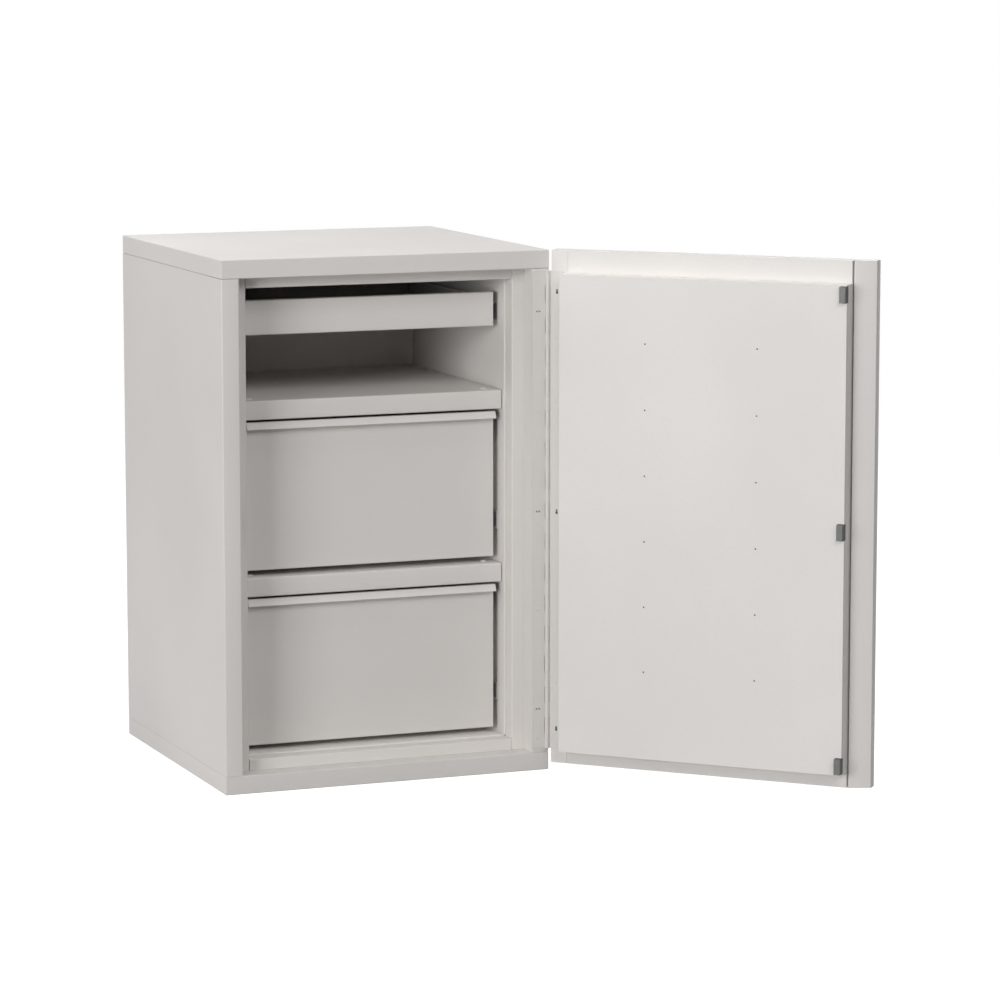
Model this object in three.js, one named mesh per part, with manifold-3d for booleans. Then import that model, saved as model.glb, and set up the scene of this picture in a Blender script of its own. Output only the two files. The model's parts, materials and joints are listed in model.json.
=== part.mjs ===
// Fireproof storage cabinet: double-walled steel body, plug door on a piano hinge with a
// three-bolt lock, a shallow tray, two fixed shelves and two filing drawers on telescopic slides.
// Millimetres. +Z is up, the front faces -Y, and the origin is the centre of the base on the floor.
// The cabinet's own pieces are laid out from its front left bottom corner: x from the left side,
// y back from the front plane, z up. The door's pieces are laid out from the hinge axis: x towards
// the free edge, -y towards the inner face.
import * as THREE from "three";
import { mergeVertices } from "three/addons/utils/BufferGeometryUtils.js";
import Module from "manifold-3d";

const wasm = await Module();
wasm.setup();

// Sheet and clearances
const SHEET = 1.5;
const LIGHT_SHEET = 1.2;
const SEAM = 0.3;

// Body
const WIDTH = 650;
const DEPTH = 630;
const HEIGHT = 1000;
const CAP_HEIGHT = 35;
const BACK_WALL = 63;

// Front frame: a jamb face, a reveal, a step and a throat
const JAMB_WIDTH = 35;
const REVEAL_DEPTH = 40;
const STEP_WIDTH = 25;
const SILL_STEP = 22;
const THROAT_DEPTH = 32;
const JAMB_LAP = 12;

// Liner
const LINER_LEDGE = 3;
const LINER_FLANGE = 15;

// Shelves, by the height of their top faces
const UPPER_SHELF_TOP = 727.5;
const LOWER_SHELF_TOP = 393;
const SHELF_HEIGHT = 36;
const SHELF_SETBACK = 82;
const SHELF_RETURN = 15;
const SHELF_LIP = 20;
const SHELF_BACK_GAP = 2;

// Drawers and tray
const FRONT_SETBACK = 99;
const FRONT_RETURN = 15;
const DRAWER_GAP = 5;
const DRAWER_FRONT_HEIGHT = 282;
const DRAWER_TUB_HEIGHT = 230;
const TRAY_TOP_GAP = 26;
const TRAY_FRONT_HEIGHT = 65;
const TRAY_TUB_HEIGHT = 52;
const TUB_BACK_GAP = 12;
const LIP_REACH = 11;
const LIP_DROP = 13;
const LIP_SLANT = 6;

// Telescopic slides
const SLIDE_SPACE = 12;
const SLIDE_HEIGHT = 35;
const SLIDE_FRONT_GAP = 4;
const SLIDE_BACK_GAP = 14;
const DRAWER_SLIDE_HEIGHT = 70;
const TRAY_SLIDE_HEIGHT = 27;
const SLIDE_MIDDLE_GAP = 0.6;

// Piano hinge
const HINGE_INSET = 5;
const HINGE_BOTTOM_INSET = 43;
const HINGE_TOP_INSET = 39;
const BARREL_RADIUS = 4;
const BORE_RADIUS = 2.75;
const PIN_RADIUS = 2.4;
const LEAF_WIDTH = 29.6;
const KNUCKLES = 31;
const KNUCKLE_NOTCH = 0.6;
const ROUND_SIDES = 16;
const SCREW_SETBACK = 18;
const SCREW_HOLE_RADIUS = 2;
const SCREW_HOLE_SIDES = 8;
const SCREW_SLOT_LENGTH = 9;
const FRAME_LEAF_HOLES = { insets: [19, 77, 268], slotted: 77, slotAlongX: true };
const DOOR_LEAF_HOLES = { insets: [39, 127, 249], slotted: 39, slotAlongX: false };

// Door
const OPENING_ANGLE = 135;
const DOOR_THICKNESS = 37;
const DOOR_BOTTOM = 15;
const FOLD_CLEARANCE = 2;
const HINGE_STILE = 32;
const RAIL_LAP = 15;
const SLIT_WIDTH = 3;
const SLIT_DEPTH = 15.7;
const SLIT_LAP = 20;
const BEVEL_DEPTH = 16.3;

// Plug: the raised inner panel of the door
const PLUG_PROUD = 30;
const PLUG_HINGE_CLEARANCE = 4.4;
const PLUG_FREE_CLEARANCE = 7.6;
const PLUG_END_CLEARANCE = 8;
const PLUG_HOLE_RADIUS = 1.75;
const PLUG_HOLE_COLUMNS = 2;
const PLUG_HOLE_ROWS = 6;
const PLUG_HOLE_COLUMN_PITCH = 222;
const PLUG_HOLE_ROW_PITCH = 124.5;
const PLUG_HOLE_SIDES = 8;

// Locking bolts and the bar that carries them
const BOLT_HEIGHT = 30;
const BOLT_WIDTH = 12.4;
const BOLT_PROUD = 9;
const BOLT_TAIL = 7;
const BOLT_TAIL_HEIGHT = 20;
const BOLT_END_INSET = 3;
const BOLT_CLEARANCE = 0.5;
const BOLT_THROW = 16;
const KEEPER_CLEARANCE = 1;
const BAR_WIDTH = 30;
const BAR_THICKNESS = 4;
const GUIDE_HEIGHT = 24;
const GUIDE_WALL = 8;
const GUIDE_BACK = 3;

// Lock: lever, spindle, crank disc, key cylinder and cam
const LOCK_BACKSET = 85;
const LOCK_BAY = 90;
const CASE_REACH = 28;
const CASE_MARGIN = 26;
const SPINDLE_SIDE = 8;
const SPINDLE_BORE = 6.5;
const DISC_RADIUS = 16;
const DISC_LAND_RADIUS = 20;
const DISC_THICKNESS = 4;
const LAND_START = 123;
const LAND_SPAN = 40;
const CRANK_PIN_RADIUS = 3;
const CRANK_SLOT_PLAY = 0.6;
const KEY_SPACING = 45;
const CAM_LENGTH = 28;
const CAM_WIDTH = 8;
const CYLINDER_RADIUS = 10.7;
const CYLINDER_LENGTH = 36;
const CYLINDER_PROUD = 1.2;
const CORE_RADIUS = 7;
const TURNING_CLEARANCE = 0.6;
const KEYWAY_WIDTH = 1.8;
const KEYWAY_HEIGHT = 8.5;
const KEYWAY_DEPTH = 4;
const ESCUTCHEON_WIDTH = 46;
const ESCUTCHEON_MARGIN = 30;
const ESCUTCHEON_THICKNESS = 3;
const ESCUTCHEON_CORNER = 8;
const HUB_RADIUS = 13;
const HUB_LENGTH = 26;
const BOSS_RADIUS = 8;
const LEVER_LENGTH = 105;
const LEVER_WIDTH = 20;
const LEVER_THICKNESS = 11;

// Places that follow from the sizes
const throatEdge = JAMB_WIDTH + STEP_WIDTH;
const throatBack = REVEAL_DEPTH + THROAT_DEPTH;
const sillTop = CAP_HEIGHT + SILL_STEP;
const linerLeft = throatEdge + LINER_LEDGE;
const linerRight = WIDTH - linerLeft;
const linerFront = throatBack + SEAM;
const linerBack = DEPTH - BACK_WALL;
const linerFloor = sillTop + LINER_LEDGE;
const linerCeiling = HEIGHT - linerFloor;
const panelRise = [CAP_HEIGHT + SEAM, HEIGHT - CAP_HEIGHT - SEAM];
const tubLeft = linerLeft + SLIDE_SPACE;
const slideReach = [FRONT_SETBACK + SLIDE_FRONT_GAP, linerBack - SLIDE_BACK_GAP];
const axisStandOff = BARREL_RADIUS + SEAM;
const hingeRise = [HINGE_BOTTOM_INSET, HEIGHT - HINGE_TOP_INSET];

const rimY = axisStandOff;
const outerY = rimY + DOOR_THICKNESS;
const doorEdge = HINGE_INSET + FOLD_CLEARANCE;
const freeEdge = WIDTH - HINGE_INSET;
const stileSeam = doorEdge + HINGE_STILE;
const plugHinge = JAMB_WIDTH - HINGE_INSET + PLUG_HINGE_CLEARANCE;
const plugFree = freeEdge - JAMB_WIDTH - PLUG_FREE_CLEARANCE;
const plugRise = [CAP_HEIGHT + PLUG_END_CLEARANCE, HEIGHT - CAP_HEIGHT - PLUG_END_CLEARANCE];
const plugFace = rimY - PLUG_PROUD;
const plugInner = plugFace + SHEET;
const stileStart = plugFree + SLIT_WIDTH;
const slitFloor = rimY + SLIT_DEPTH;
const bolts = {
  top_bolt: plugRise[1] - BOLT_END_INSET - BOLT_HEIGHT / 2,
  middle_bolt: (plugRise[0] + plugRise[1]) / 2,
  bottom_bolt: plugRise[0] + BOLT_END_INSET + BOLT_HEIGHT / 2,
};
const tailY = [plugInner + SEAM, plugInner + SEAM + BOLT_TAIL];
const barY = [tailY[1] + SEAM, tailY[1] + SEAM + BAR_THICKNESS];
const discY = [barY[1] + SEAM, barY[1] + SEAM + DISC_THICKNESS];
const caseY = [discY[1] + SEAM, outerY - SHEET - SEAM];
const spindleX = freeEdge - LOCK_BACKSET;
const spindleZ = bolts.middle_bolt;
const keyZ = spindleZ + KEY_SPACING;
const barMiddle = spindleX - BOLT_THROW / 2;
const bayStart = plugFree - LOCK_BAY;
const escutcheonY = [outerY + SEAM, outerY + SEAM + ESCUTCHEON_THICKNESS];
const hubY = [escutcheonY[1] + SEAM, escutcheonY[1] + SEAM + HUB_LENGTH];

// Finishes
const finish = (color, roughness, metalness) =>
  new THREE.MeshStandardMaterial({ color, roughness, metalness });
const BODY_PAINT = finish(0xd8d6d2, 0.55, 0.1);
const DOOR_PAINT = finish(0xdddbd7, 0.55, 0.1);
const FRONT_PAINT = finish(0xcfccc7, 0.55, 0.1);
const LINER_PAINT = finish(0xc8c6c2, 0.6, 0.1);
const ZINC = finish(0xa9abad, 0.4, 0.8);
const DARK_STEEL = finish(0x6c6d6c, 0.5, 0.6);
const CHROME = finish(0xc9cbcd, 0.2, 1.0);
const INSULATION = finish(0xe6e0d2, 0.95, 0.0);

// A closed geometry as a solid that can be joined and cut.
function solidOf(geometry) {
  geometry.deleteAttribute("normal");
  geometry.deleteAttribute("uv");
  const merged = mergeVertices(geometry, 1e-4);
  const mesh = new wasm.Mesh({
    numProp: 3,
    vertProperties: merged.attributes.position.array,
    triVerts: new Uint32Array(merged.index.array),
  });
  return new wasm.Manifold(mesh);
}

// A solid as a geometry for a mesh.
function geometryOf(solid) {
  const { vertProperties, triVerts } = solid.getMesh();
  const geometry = new THREE.BufferGeometry();
  geometry.setAttribute("position", new THREE.BufferAttribute(vertProperties, 3));
  geometry.setIndex(new THREE.BufferAttribute(triVerts, 1));
  geometry.computeVertexNormals();
  return geometry;
}

// A rectangular block between the low and high of each axis.
function block([x0, x1], [y0, y1], [z0, z1]) {
  const geometry = new THREE.BoxGeometry(x1 - x0, y1 - y0, z1 - z0);
  geometry.translate((x0 + x1) / 2, (y0 + y1) / 2, (z0 + z1) / 2);
  return solidOf(geometry);
}

// An outline pulled along an axis: outlines are (x, y) along z, (y, z) along x, (x, z) along y.
function prism(outline, axis, [low, high]) {
  const shape = new THREE.Shape(outline.map(([a, b]) => new THREE.Vector2(a, b)));
  const geometry = new THREE.ExtrudeGeometry(shape, { depth: high - low, bevelEnabled: false });
  const x = new THREE.Vector3(1, 0, 0);
  const y = new THREE.Vector3(0, 1, 0);
  const z = new THREE.Vector3(0, 0, 1);
  const turns = {
    x: new THREE.Matrix4().makeBasis(y, z, x),
    y: new THREE.Matrix4().makeBasis(x, z, y.clone().negate()),
    z: new THREE.Matrix4(),
  };
  geometry.translate(0, 0, axis === "y" ? -high : low);
  geometry.applyMatrix4(turns[axis]);
  return solidOf(geometry);
}

// Points around a circle, or around an arc of it, with the angles in degrees.
function arc([a, b], radius, sides, from = 0, span = 360) {
  const steps = span === 360 ? sides : sides + 1;
  return Array.from({ length: steps }, (_, i) => {
    const angle = THREE.MathUtils.degToRad(from + (span * i) / sides);
    return [a + radius * Math.cos(angle), b + radius * Math.sin(angle)];
  });
}

// A round bar along an axis.
function rod(centre, radius, axis, reach, sides = ROUND_SIDES) {
  return prism(arc(centre, radius, sides), axis, reach);
}

// The closed outline of a folded sheet whose thickness lies to the left of its path.
function foldedOutline(path, thickness) {
  const points = path.map(([a, b]) => new THREE.Vector2(a, b));
  const last = points.length - 1;
  const leftOf = (from, to) => {
    const along = to.clone().sub(from).normalize();
    return new THREE.Vector2(-along.y, along.x);
  };
  const inner = points.map((point, i) => {
    const before = leftOf(points[Math.max(i - 1, 0)], points[Math.max(i, 1)]);
    const after = leftOf(points[Math.min(i, last - 1)], points[Math.min(i + 1, last)]);
    const mitre = before.clone().add(after).divideScalar(1 + before.dot(after));
    return point.clone().addScaledVector(mitre, thickness);
  });
  return [...points, ...inner.reverse()].map((point) => [point.x, point.y]);
}

// A folded sheet pulled along an axis.
function fold(path, thickness, axis, reach) {
  return prism(foldedOutline(path, thickness), axis, reach);
}

// The same path on the other side of the cabinet, turned so its sheet stays on the inside.
function mirrored(path, width) {
  return path.map(([a, b]) => [width - a, b]).reverse();
}

// The same path upside down within the cabinet's height, turned so its sheet stays inside.
function flipped(path) {
  return path.map(([y, z]) => [y, HEIGHT - z]).reverse();
}

// An open box: four walls and a floor, open at the high end of z.
function openBox([x0, x1], [y0, y1], [z0, z1], wall) {
  const hollow = block([x0 + wall, x1 - wall], [y0 + wall, y1 - wall], [z0 + wall, z1 + wall]);
  return block([x0, x1], [y0, y1], [z0, z1]).subtract(hollow);
}

// A named mesh in a group.
function place(group, name, solid, material) {
  const mesh = new THREE.Mesh(geometryOf(solid), material);
  mesh.name = name;
  group.add(mesh);
}

// Outer shell: two folded side panels, a back panel and two caps
function keeperSlots() {
  const closedY = (y) => -axisStandOff - y;
  const slotY = [closedY(tailY[1]) - KEEPER_CLEARANCE, closedY(plugFace - BOLT_PROUD) + KEEPER_CLEARANCE];
  const slotX = [JAMB_WIDTH - 2 * SHEET, JAMB_WIDTH + SHEET];
  const half = BOLT_HEIGHT / 2 + KEEPER_CLEARANCE;
  return Object.values(bolts).map((z) => block(slotX, slotY, [z - half, z + half]));
}

function outerShell(group) {
  const sidePath = [
    [0, DEPTH],
    [0, 0],
    [JAMB_WIDTH, 0],
    [JAMB_WIDTH, REVEAL_DEPTH - SEAM],
  ];
  const left = fold(sidePath, SHEET, "z", panelRise).subtract(joined(keeperSlots()));
  const screwLine = WIDTH - HINGE_INSET - SCREW_SETBACK;
  const drilled = screwHoles(FRAME_LEAF_HOLES, screwLine, [-SHEET, 2 * SHEET]);
  const right = fold(mirrored(sidePath, WIDTH), SHEET, "z", panelRise).subtract(drilled);
  place(group, "left_panel", left, BODY_PAINT);
  place(group, "right_panel", right, BODY_PAINT);
  const inset = SHEET + SEAM;
  place(group, "back_panel", block([inset, WIDTH - inset], [DEPTH - SHEET, DEPTH], panelRise), BODY_PAINT);
  place(group, "base_cap", cap(0, CAP_HEIGHT), BODY_PAINT);
  place(group, "top_cap", cap(HEIGHT, HEIGHT - CAP_HEIGHT), BODY_PAINT);
}

// A shallow pan from its flat face to its rim, with a return that closes the frame's reveal.
function cap(face, rim) {
  const inwards = Math.sign(rim - face);
  const between = (from, to) => [Math.min(from, to), Math.max(from, to)];
  const hollowZ = between(face + inwards * SHEET, rim + inwards * SHEET);
  const hollow = block([SHEET, WIDTH - SHEET], [SHEET, DEPTH - SHEET], hollowZ);
  const reveal = [JAMB_WIDTH + SEAM, WIDTH - JAMB_WIDTH - SEAM];
  const returned = block(reveal, [0, REVEAL_DEPTH + SHEET], between(rim - inwards * SHEET, rim));
  return block([0, WIDTH], [0, DEPTH], between(face, rim)).subtract(hollow).add(returned);
}

function joined(solids) {
  return solids.reduce((whole, solid) => whole.add(solid));
}

// Front frame behind the reveal
function frontFrame(group) {
  const jambPath = [
    [JAMB_WIDTH - JAMB_LAP, REVEAL_DEPTH],
    [throatEdge, REVEAL_DEPTH],
    [throatEdge, throatBack],
  ];
  place(group, "left_jamb", fold(jambPath, SHEET, "z", panelRise), BODY_PAINT);
  place(group, "right_jamb", fold(mirrored(jambPath, WIDTH), SHEET, "z", panelRise), BODY_PAINT);
  const sillPath = [
    [throatBack, sillTop],
    [REVEAL_DEPTH, sillTop],
    [REVEAL_DEPTH, CAP_HEIGHT + SEAM],
  ];
  const span = [throatEdge + SEAM, WIDTH - throatEdge - SEAM];
  place(group, "sill_rail", fold(sillPath, SHEET, "x", span), BODY_PAINT);
  place(group, "head_rail", fold(flipped(sillPath), SHEET, "x", span), BODY_PAINT);
}

// Liner: the inner box that the shelves and slides are fixed to
function liner(group) {
  const sidePath = [
    [linerLeft - LINER_FLANGE, linerFront],
    [linerLeft, linerFront],
    [linerLeft, linerBack + SHEET],
  ];
  const sideRise = [linerFloor - SHEET, linerCeiling + SHEET];
  place(group, "liner_left", fold(sidePath, SHEET, "z", sideRise), LINER_PAINT);
  place(group, "liner_right", fold(mirrored(sidePath, WIDTH), SHEET, "z", sideRise), LINER_PAINT);
  const floorPath = [
    [linerBack + SHEET, linerFloor],
    [linerFront, linerFloor],
    [linerFront, linerFloor - LINER_FLANGE],
  ];
  const span = [linerLeft + SEAM, linerRight - SEAM];
  place(group, "liner_floor", fold(floorPath, SHEET, "x", span), LINER_PAINT);
  place(group, "liner_ceiling", fold(flipped(floorPath), SHEET, "x", span), LINER_PAINT);
  const backRise = [linerFloor + SEAM, linerCeiling - SEAM];
  place(group, "liner_back", block(span, [linerBack, linerBack + SHEET], backRise), LINER_PAINT);
}

// Insulation: a mineral-fibre jacket between the shell and the liner, and in the two caps
function insulation(group) {
  const skin = SHEET + SEAM;
  const x = [skin, WIDTH - skin];
  const y = [linerFront + skin, DEPTH - skin];
  const hollow = block(
    [linerLeft - skin, linerRight + skin],
    [linerFront, linerBack + skin],
    [linerFloor - skin, linerCeiling + skin],
  );
  const capY = [skin, DEPTH - skin];
  const baseFill = block(x, capY, [skin, CAP_HEIGHT - skin]);
  const topFill = block(x, capY, [HEIGHT - CAP_HEIGHT + skin, HEIGHT - skin]);
  const jacket = block(x, y, [skin, HEIGHT - skin]).subtract(hollow).add(baseFill).add(topFill);
  place(group, "body_insulation", jacket, INSULATION);
}

// A fixed shelf: a pan turned down at the front, the back and both sides
function shelf(top) {
  const back = linerBack - SHELF_BACK_GAP;
  const path = [
    [back, top - SHELF_LIP],
    [back, top],
    [SHELF_SETBACK, top],
    [SHELF_SETBACK, top - SHELF_HEIGHT],
    [SHELF_SETBACK + SHELF_RETURN, top - SHELF_HEIGHT],
  ];
  const span = [linerLeft + SEAM, linerRight - SEAM];
  const sides = [span[0], span[1] - SHEET].map((x) =>
    block([x, x + SHEET], [SHELF_SETBACK, back], [top - SHELF_LIP, top]),
  );
  return fold(path, SHEET, "x", span).add(joined(sides));
}

function shelves(group) {
  place(group, "upper_shelf", shelf(UPPER_SHELF_TOP), LINER_PAINT);
  place(group, "lower_shelf", shelf(LOWER_SHELF_TOP), LINER_PAINT);
}

// A slide's channel on the left liner wall, with flanges of a given reach, as an (x, z) path
function channelPath(middle, flange) {
  const wall = linerLeft + SEAM;
  const half = SLIDE_HEIGHT / 2;
  return [
    [wall + flange, middle + half],
    [wall, middle + half],
    [wall, middle - half],
    [wall + flange, middle - half],
  ];
}

// The same path facing the other way across the slide's space
function facing(path) {
  return mirrored(path, 2 * linerLeft + SLIDE_SPACE);
}

// One folded slide member on each side of the cabinet
function slideMembers(group, name, path) {
  place(group, `${name}_left`, fold(path, LIGHT_SHEET, "y", slideReach), ZINC);
  place(group, `${name}_right`, fold(mirrored(path, WIDTH), LIGHT_SHEET, "y", slideReach), ZINC);
}

// Full-extension slides: a channel on the liner, a middle bar and a rail on the tub
function threePartSlides(group, name, middle) {
  const channel = channelPath(middle, (SLIDE_SPACE - SLIDE_MIDDLE_GAP) / 2 - SEAM);
  slideMembers(group, `${name}_channel`, channel);
  slideMembers(group, `${name}_rail`, facing(channel));
  const skin = LIGHT_SHEET + 2 * SEAM;
  const half = SLIDE_HEIGHT / 2 - LIGHT_SHEET - SEAM;
  const x = [linerLeft + skin, tubLeft - skin];
  const z = [middle - half, middle + half];
  place(group, `${name}_slide_left`, block(x, slideReach, z), ZINC);
  place(group, `${name}_slide_right`, block([WIDTH - x[1], WIDTH - x[0]], slideReach, z), ZINC);
}

// Part-extension slides: a channel on the liner and a rail on the tub that runs inside it
function twoPartSlides(group, name, middle) {
  const flange = SLIDE_SPACE - LIGHT_SHEET - 3 * SEAM;
  const channel = channelPath(middle, flange);
  slideMembers(group, `${name}_channel`, channel);
  const step = LIGHT_SHEET + SEAM;
  const nested = channel.map(([x, z]) => [x, z + Math.sign(middle - z) * step]);
  slideMembers(group, `${name}_rail`, facing(nested));
}

// A drawer's tub behind its front
function tub(bottom, height) {
  const y = [FRONT_SETBACK + SHEET + SEAM, linerBack - TUB_BACK_GAP];
  const low = bottom + SHEET + SEAM;
  return openBox([tubLeft, WIDTH - tubLeft], y, [low, low + height], LIGHT_SHEET);
}

// A filing drawer: its front carries a slanted pull along the top
function filingDrawer(group, name, top) {
  const bottom = top - DRAWER_FRONT_HEIGHT;
  const back = FRONT_SETBACK + SHEET;
  const lipEdge = FRONT_SETBACK - LIP_REACH;
  const path = [
    [FRONT_SETBACK + FRONT_RETURN, bottom + SHEET],
    [back, bottom + SHEET],
    [back, top],
    [lipEdge, top],
    [lipEdge - LIP_SLANT, top - LIP_DROP],
  ];
  const front = fold(path, SHEET, "x", [tubLeft, WIDTH - tubLeft]);
  place(group, `${name}_front`, front, FRONT_PAINT);
  place(group, `${name}_tub`, tub(bottom, DRAWER_TUB_HEIGHT), LINER_PAINT);
  threePartSlides(group, name, bottom + DRAWER_SLIDE_HEIGHT);
}

function tray(group) {
  const top = linerCeiling - TRAY_TOP_GAP;
  const bottom = top - TRAY_FRONT_HEIGHT;
  const path = [
    [FRONT_SETBACK + FRONT_RETURN, top],
    [FRONT_SETBACK, top],
    [FRONT_SETBACK, bottom],
    [FRONT_SETBACK + FRONT_RETURN, bottom],
  ];
  const front = fold(path, SHEET, "x", [tubLeft, WIDTH - tubLeft]);
  place(group, "tray_front", front, FRONT_PAINT);
  place(group, "tray_tub", tub(bottom, TRAY_TUB_HEIGHT), LINER_PAINT);
  twoPartSlides(group, "tray", bottom + TRAY_SLIDE_HEIGHT);
}

// The screw holes of a hinge leaf, from both ends and at the middle
function leafHoles({ insets, slotted }) {
  const hole = (inset, z) => ({ z, isSlot: inset === slotted });
  const low = insets.map((inset) => hole(inset, hingeRise[0] + inset));
  const high = insets.map((inset) => hole(inset, hingeRise[1] - inset));
  return [...low, { z: (hingeRise[0] + hingeRise[1]) / 2, isSlot: true }, ...high];
}

// Round holes through a sheet in line with a leaf's holes
function screwHoles(holes, x, reach) {
  const drill = ({ z }) => rod([x, z], SCREW_HOLE_RADIUS, "y", reach, SCREW_HOLE_SIDES);
  return joined(leafHoles(holes).map(drill));
}

// The long holes of a leaf, along x or along z
function screwSlots(holes, x, reach) {
  const stretch = SCREW_SLOT_LENGTH / 2 - SCREW_HOLE_RADIUS;
  const [dx, dz] = holes.slotAlongX ? [stretch, 0] : [0, stretch];
  const start = holes.slotAlongX ? 270 : 0;
  const slots = leafHoles(holes).filter(({ isSlot }) => isSlot);
  const cuts = slots.map(({ z }) => {
    const outline = [
      ...arc([x + dx, z + dz], SCREW_HOLE_RADIUS, SCREW_HOLE_SIDES / 2, start, 180),
      ...arc([x - dx, z - dz], SCREW_HOLE_RADIUS, SCREW_HOLE_SIDES / 2, start + 180, 180),
    ];
    return prism(outline, "y", reach);
  });
  return joined(cuts);
}

// One hinge leaf about the axis: side is +1 or -1 along x, and parity picks its knuckles
function hingeLeaf(side, parity, holes) {
  const between = (from, to) => [Math.min(side * from, side * to), Math.max(side * from, side * to)];
  const sheetY = [BARREL_RADIUS - SHEET, BARREL_RADIUS];
  const notch = BARREL_RADIUS + KNUCKLE_NOTCH;
  const pitch = (hingeRise[1] - hingeRise[0]) / KNUCKLES;
  let leaf = block(between(notch, LEAF_WIDTH), sheetY, hingeRise);
  for (let i = parity; i < KNUCKLES; i += 2) {
    const rise = [hingeRise[0] + i * pitch + SEAM / 2, hingeRise[0] + (i + 1) * pitch - SEAM / 2];
    leaf = leaf.add(block(between(0, notch + SHEET), sheetY, rise));
    leaf = leaf.add(rod([0, 0], BARREL_RADIUS, "z", rise));
  }
  const through = [0, BARREL_RADIUS + SHEET];
  const x = side * SCREW_SETBACK;
  const holesCut = screwHoles(holes, x, through).add(screwSlots(holes, x, through));
  const bore = rod([0, 0], BORE_RADIUS, "z", [hingeRise[0] - SEAM, hingeRise[1] + SEAM]);
  return leaf.subtract(bore).subtract(holesCut);
}

function frameHinge(group) {
  place(group, "hinge_frame_leaf", hingeLeaf(-1, 0, FRAME_LEAF_HOLES), BODY_PAINT);
  place(group, "hinge_pin", rod([0, 0], PIN_RADIUS, "z", hingeRise), ZINC);
}

// The bevel's inner surface at a distance from the hinge axis
function bevelInside(x) {
  const slope = BEVEL_DEPTH / (freeEdge - stileStart);
  const skin = (SHEET + SEAM) * Math.hypot(1, slope);
  return rimY + slope * (x - stileStart) + skin;
}

// The holes that the lever's boss and the lock cylinder pass through
function lockHoles(reach) {
  const boss = rod([spindleX, spindleZ], BOSS_RADIUS + TURNING_CLEARANCE, "y", reach);
  return boss.add(rod([spindleX, keyZ], CYLINDER_RADIUS + SEAM, "y", reach));
}

function doorSkin() {
  const path = [
    [stileStart - SLIT_LAP, slitFloor],
    [stileStart, slitFloor],
    [stileStart, rimY],
    [freeEdge, rimY + BEVEL_DEPTH],
    [freeEdge, outerY],
    [doorEdge, outerY],
    [doorEdge, rimY],
    [stileSeam, rimY],
  ];
  const skin = fold(path, SHEET, "z", [DOOR_BOTTOM, HEIGHT]);
  const face = [outerY - 2 * SHEET, outerY + SHEET];
  const rim = [rimY - SHEET, rimY + 2 * SHEET];
  return skin.subtract(screwHoles(DOOR_LEAF_HOLES, SCREW_SETBACK, rim)).subtract(lockHoles(face));
}

// A rail closes one end of the door: its rim face, its end plate and the slit's inner wall
function doorRail(end, plugEnd) {
  const inwards = Math.sign(plugEnd - end);
  const between = (from, to) => [Math.min(from, to), Math.max(from, to)];
  const lap = plugEnd + inwards * RAIL_LAP;
  const skin = SHEET + SEAM;
  const plateZ = between(end, end + inwards * SHEET);
  const plate = [
    [doorEdge + skin, rimY + skin],
    [stileSeam + SEAM, rimY + skin],
    [stileSeam + SEAM, rimY],
    [stileStart - SEAM, rimY],
    [stileStart - SEAM, slitFloor + skin],
    [stileStart + skin, slitFloor + skin],
    [stileStart + skin, bevelInside(stileStart + skin)],
    [freeEdge - skin, bevelInside(freeEdge - skin)],
    [freeEdge - skin, outerY - skin],
    [doorEdge + skin, outerY - skin],
  ];
  const floorNotch = block(
    [stileStart - SLIT_LAP - SEAM, stileStart],
    [slitFloor - SEAM, slitFloor + skin],
    between(end - inwards * SHEET, end + inwards * 2 * SHEET),
  );
  const face = block([stileSeam + SEAM, plugFree], [rimY, rimY + SHEET], between(end, lap));
  const wall = block([plugFree - SHEET, plugFree], [rimY, slitFloor - SEAM], between(end, lap));
  return prism(plate, "z", plateZ).subtract(floorNotch).add(face).add(wall);
}

// The raised inner panel, with its holes and the notches that the bolts slide in
function doorPlug() {
  const y = [plugFace, rimY - SEAM];
  const hollow = block(
    [plugHinge + SHEET, plugFree - SHEET],
    [plugInner, rimY + SHEET],
    [plugRise[0] + SHEET, plugRise[1] - SHEET],
  );
  const slitWallRise = [plugRise[0] + RAIL_LAP + SEAM, plugRise[1] - RAIL_LAP - SEAM];
  const slitWall = block([plugFree - SHEET, plugFree], [plugInner, slitFloor - SEAM], slitWallRise);
  const pan = block([plugHinge, plugFree], y, plugRise).subtract(hollow).add(slitWall);
  const half = BOLT_HEIGHT / 2 + BOLT_CLEARANCE;
  const notchX = [plugFree - BOLT_WIDTH - BOLT_CLEARANCE, plugFree + SHEET];
  const notchY = [plugFace - SHEET, tailY[1] + BOLT_CLEARANCE];
  const cuts = Object.values(bolts).map((z) => block(notchX, notchY, [z - half, z + half]));
  const sheet = [plugFace - SHEET, plugInner + SEAM / 2];
  const middle = (plugHinge + plugFree) / 2;
  for (let column = 0; column < PLUG_HOLE_COLUMNS; column += 1) {
    const x = middle + (column - (PLUG_HOLE_COLUMNS - 1) / 2) * PLUG_HOLE_COLUMN_PITCH;
    for (let row = 1; row <= PLUG_HOLE_ROWS; row += 1) {
      const centre = [x, plugRise[1] - row * PLUG_HOLE_ROW_PITCH];
      cuts.push(rod(centre, PLUG_HOLE_RADIUS, "y", sheet, PLUG_HOLE_SIDES));
    }
  }
  return pan.subtract(joined(cuts));
}

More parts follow.
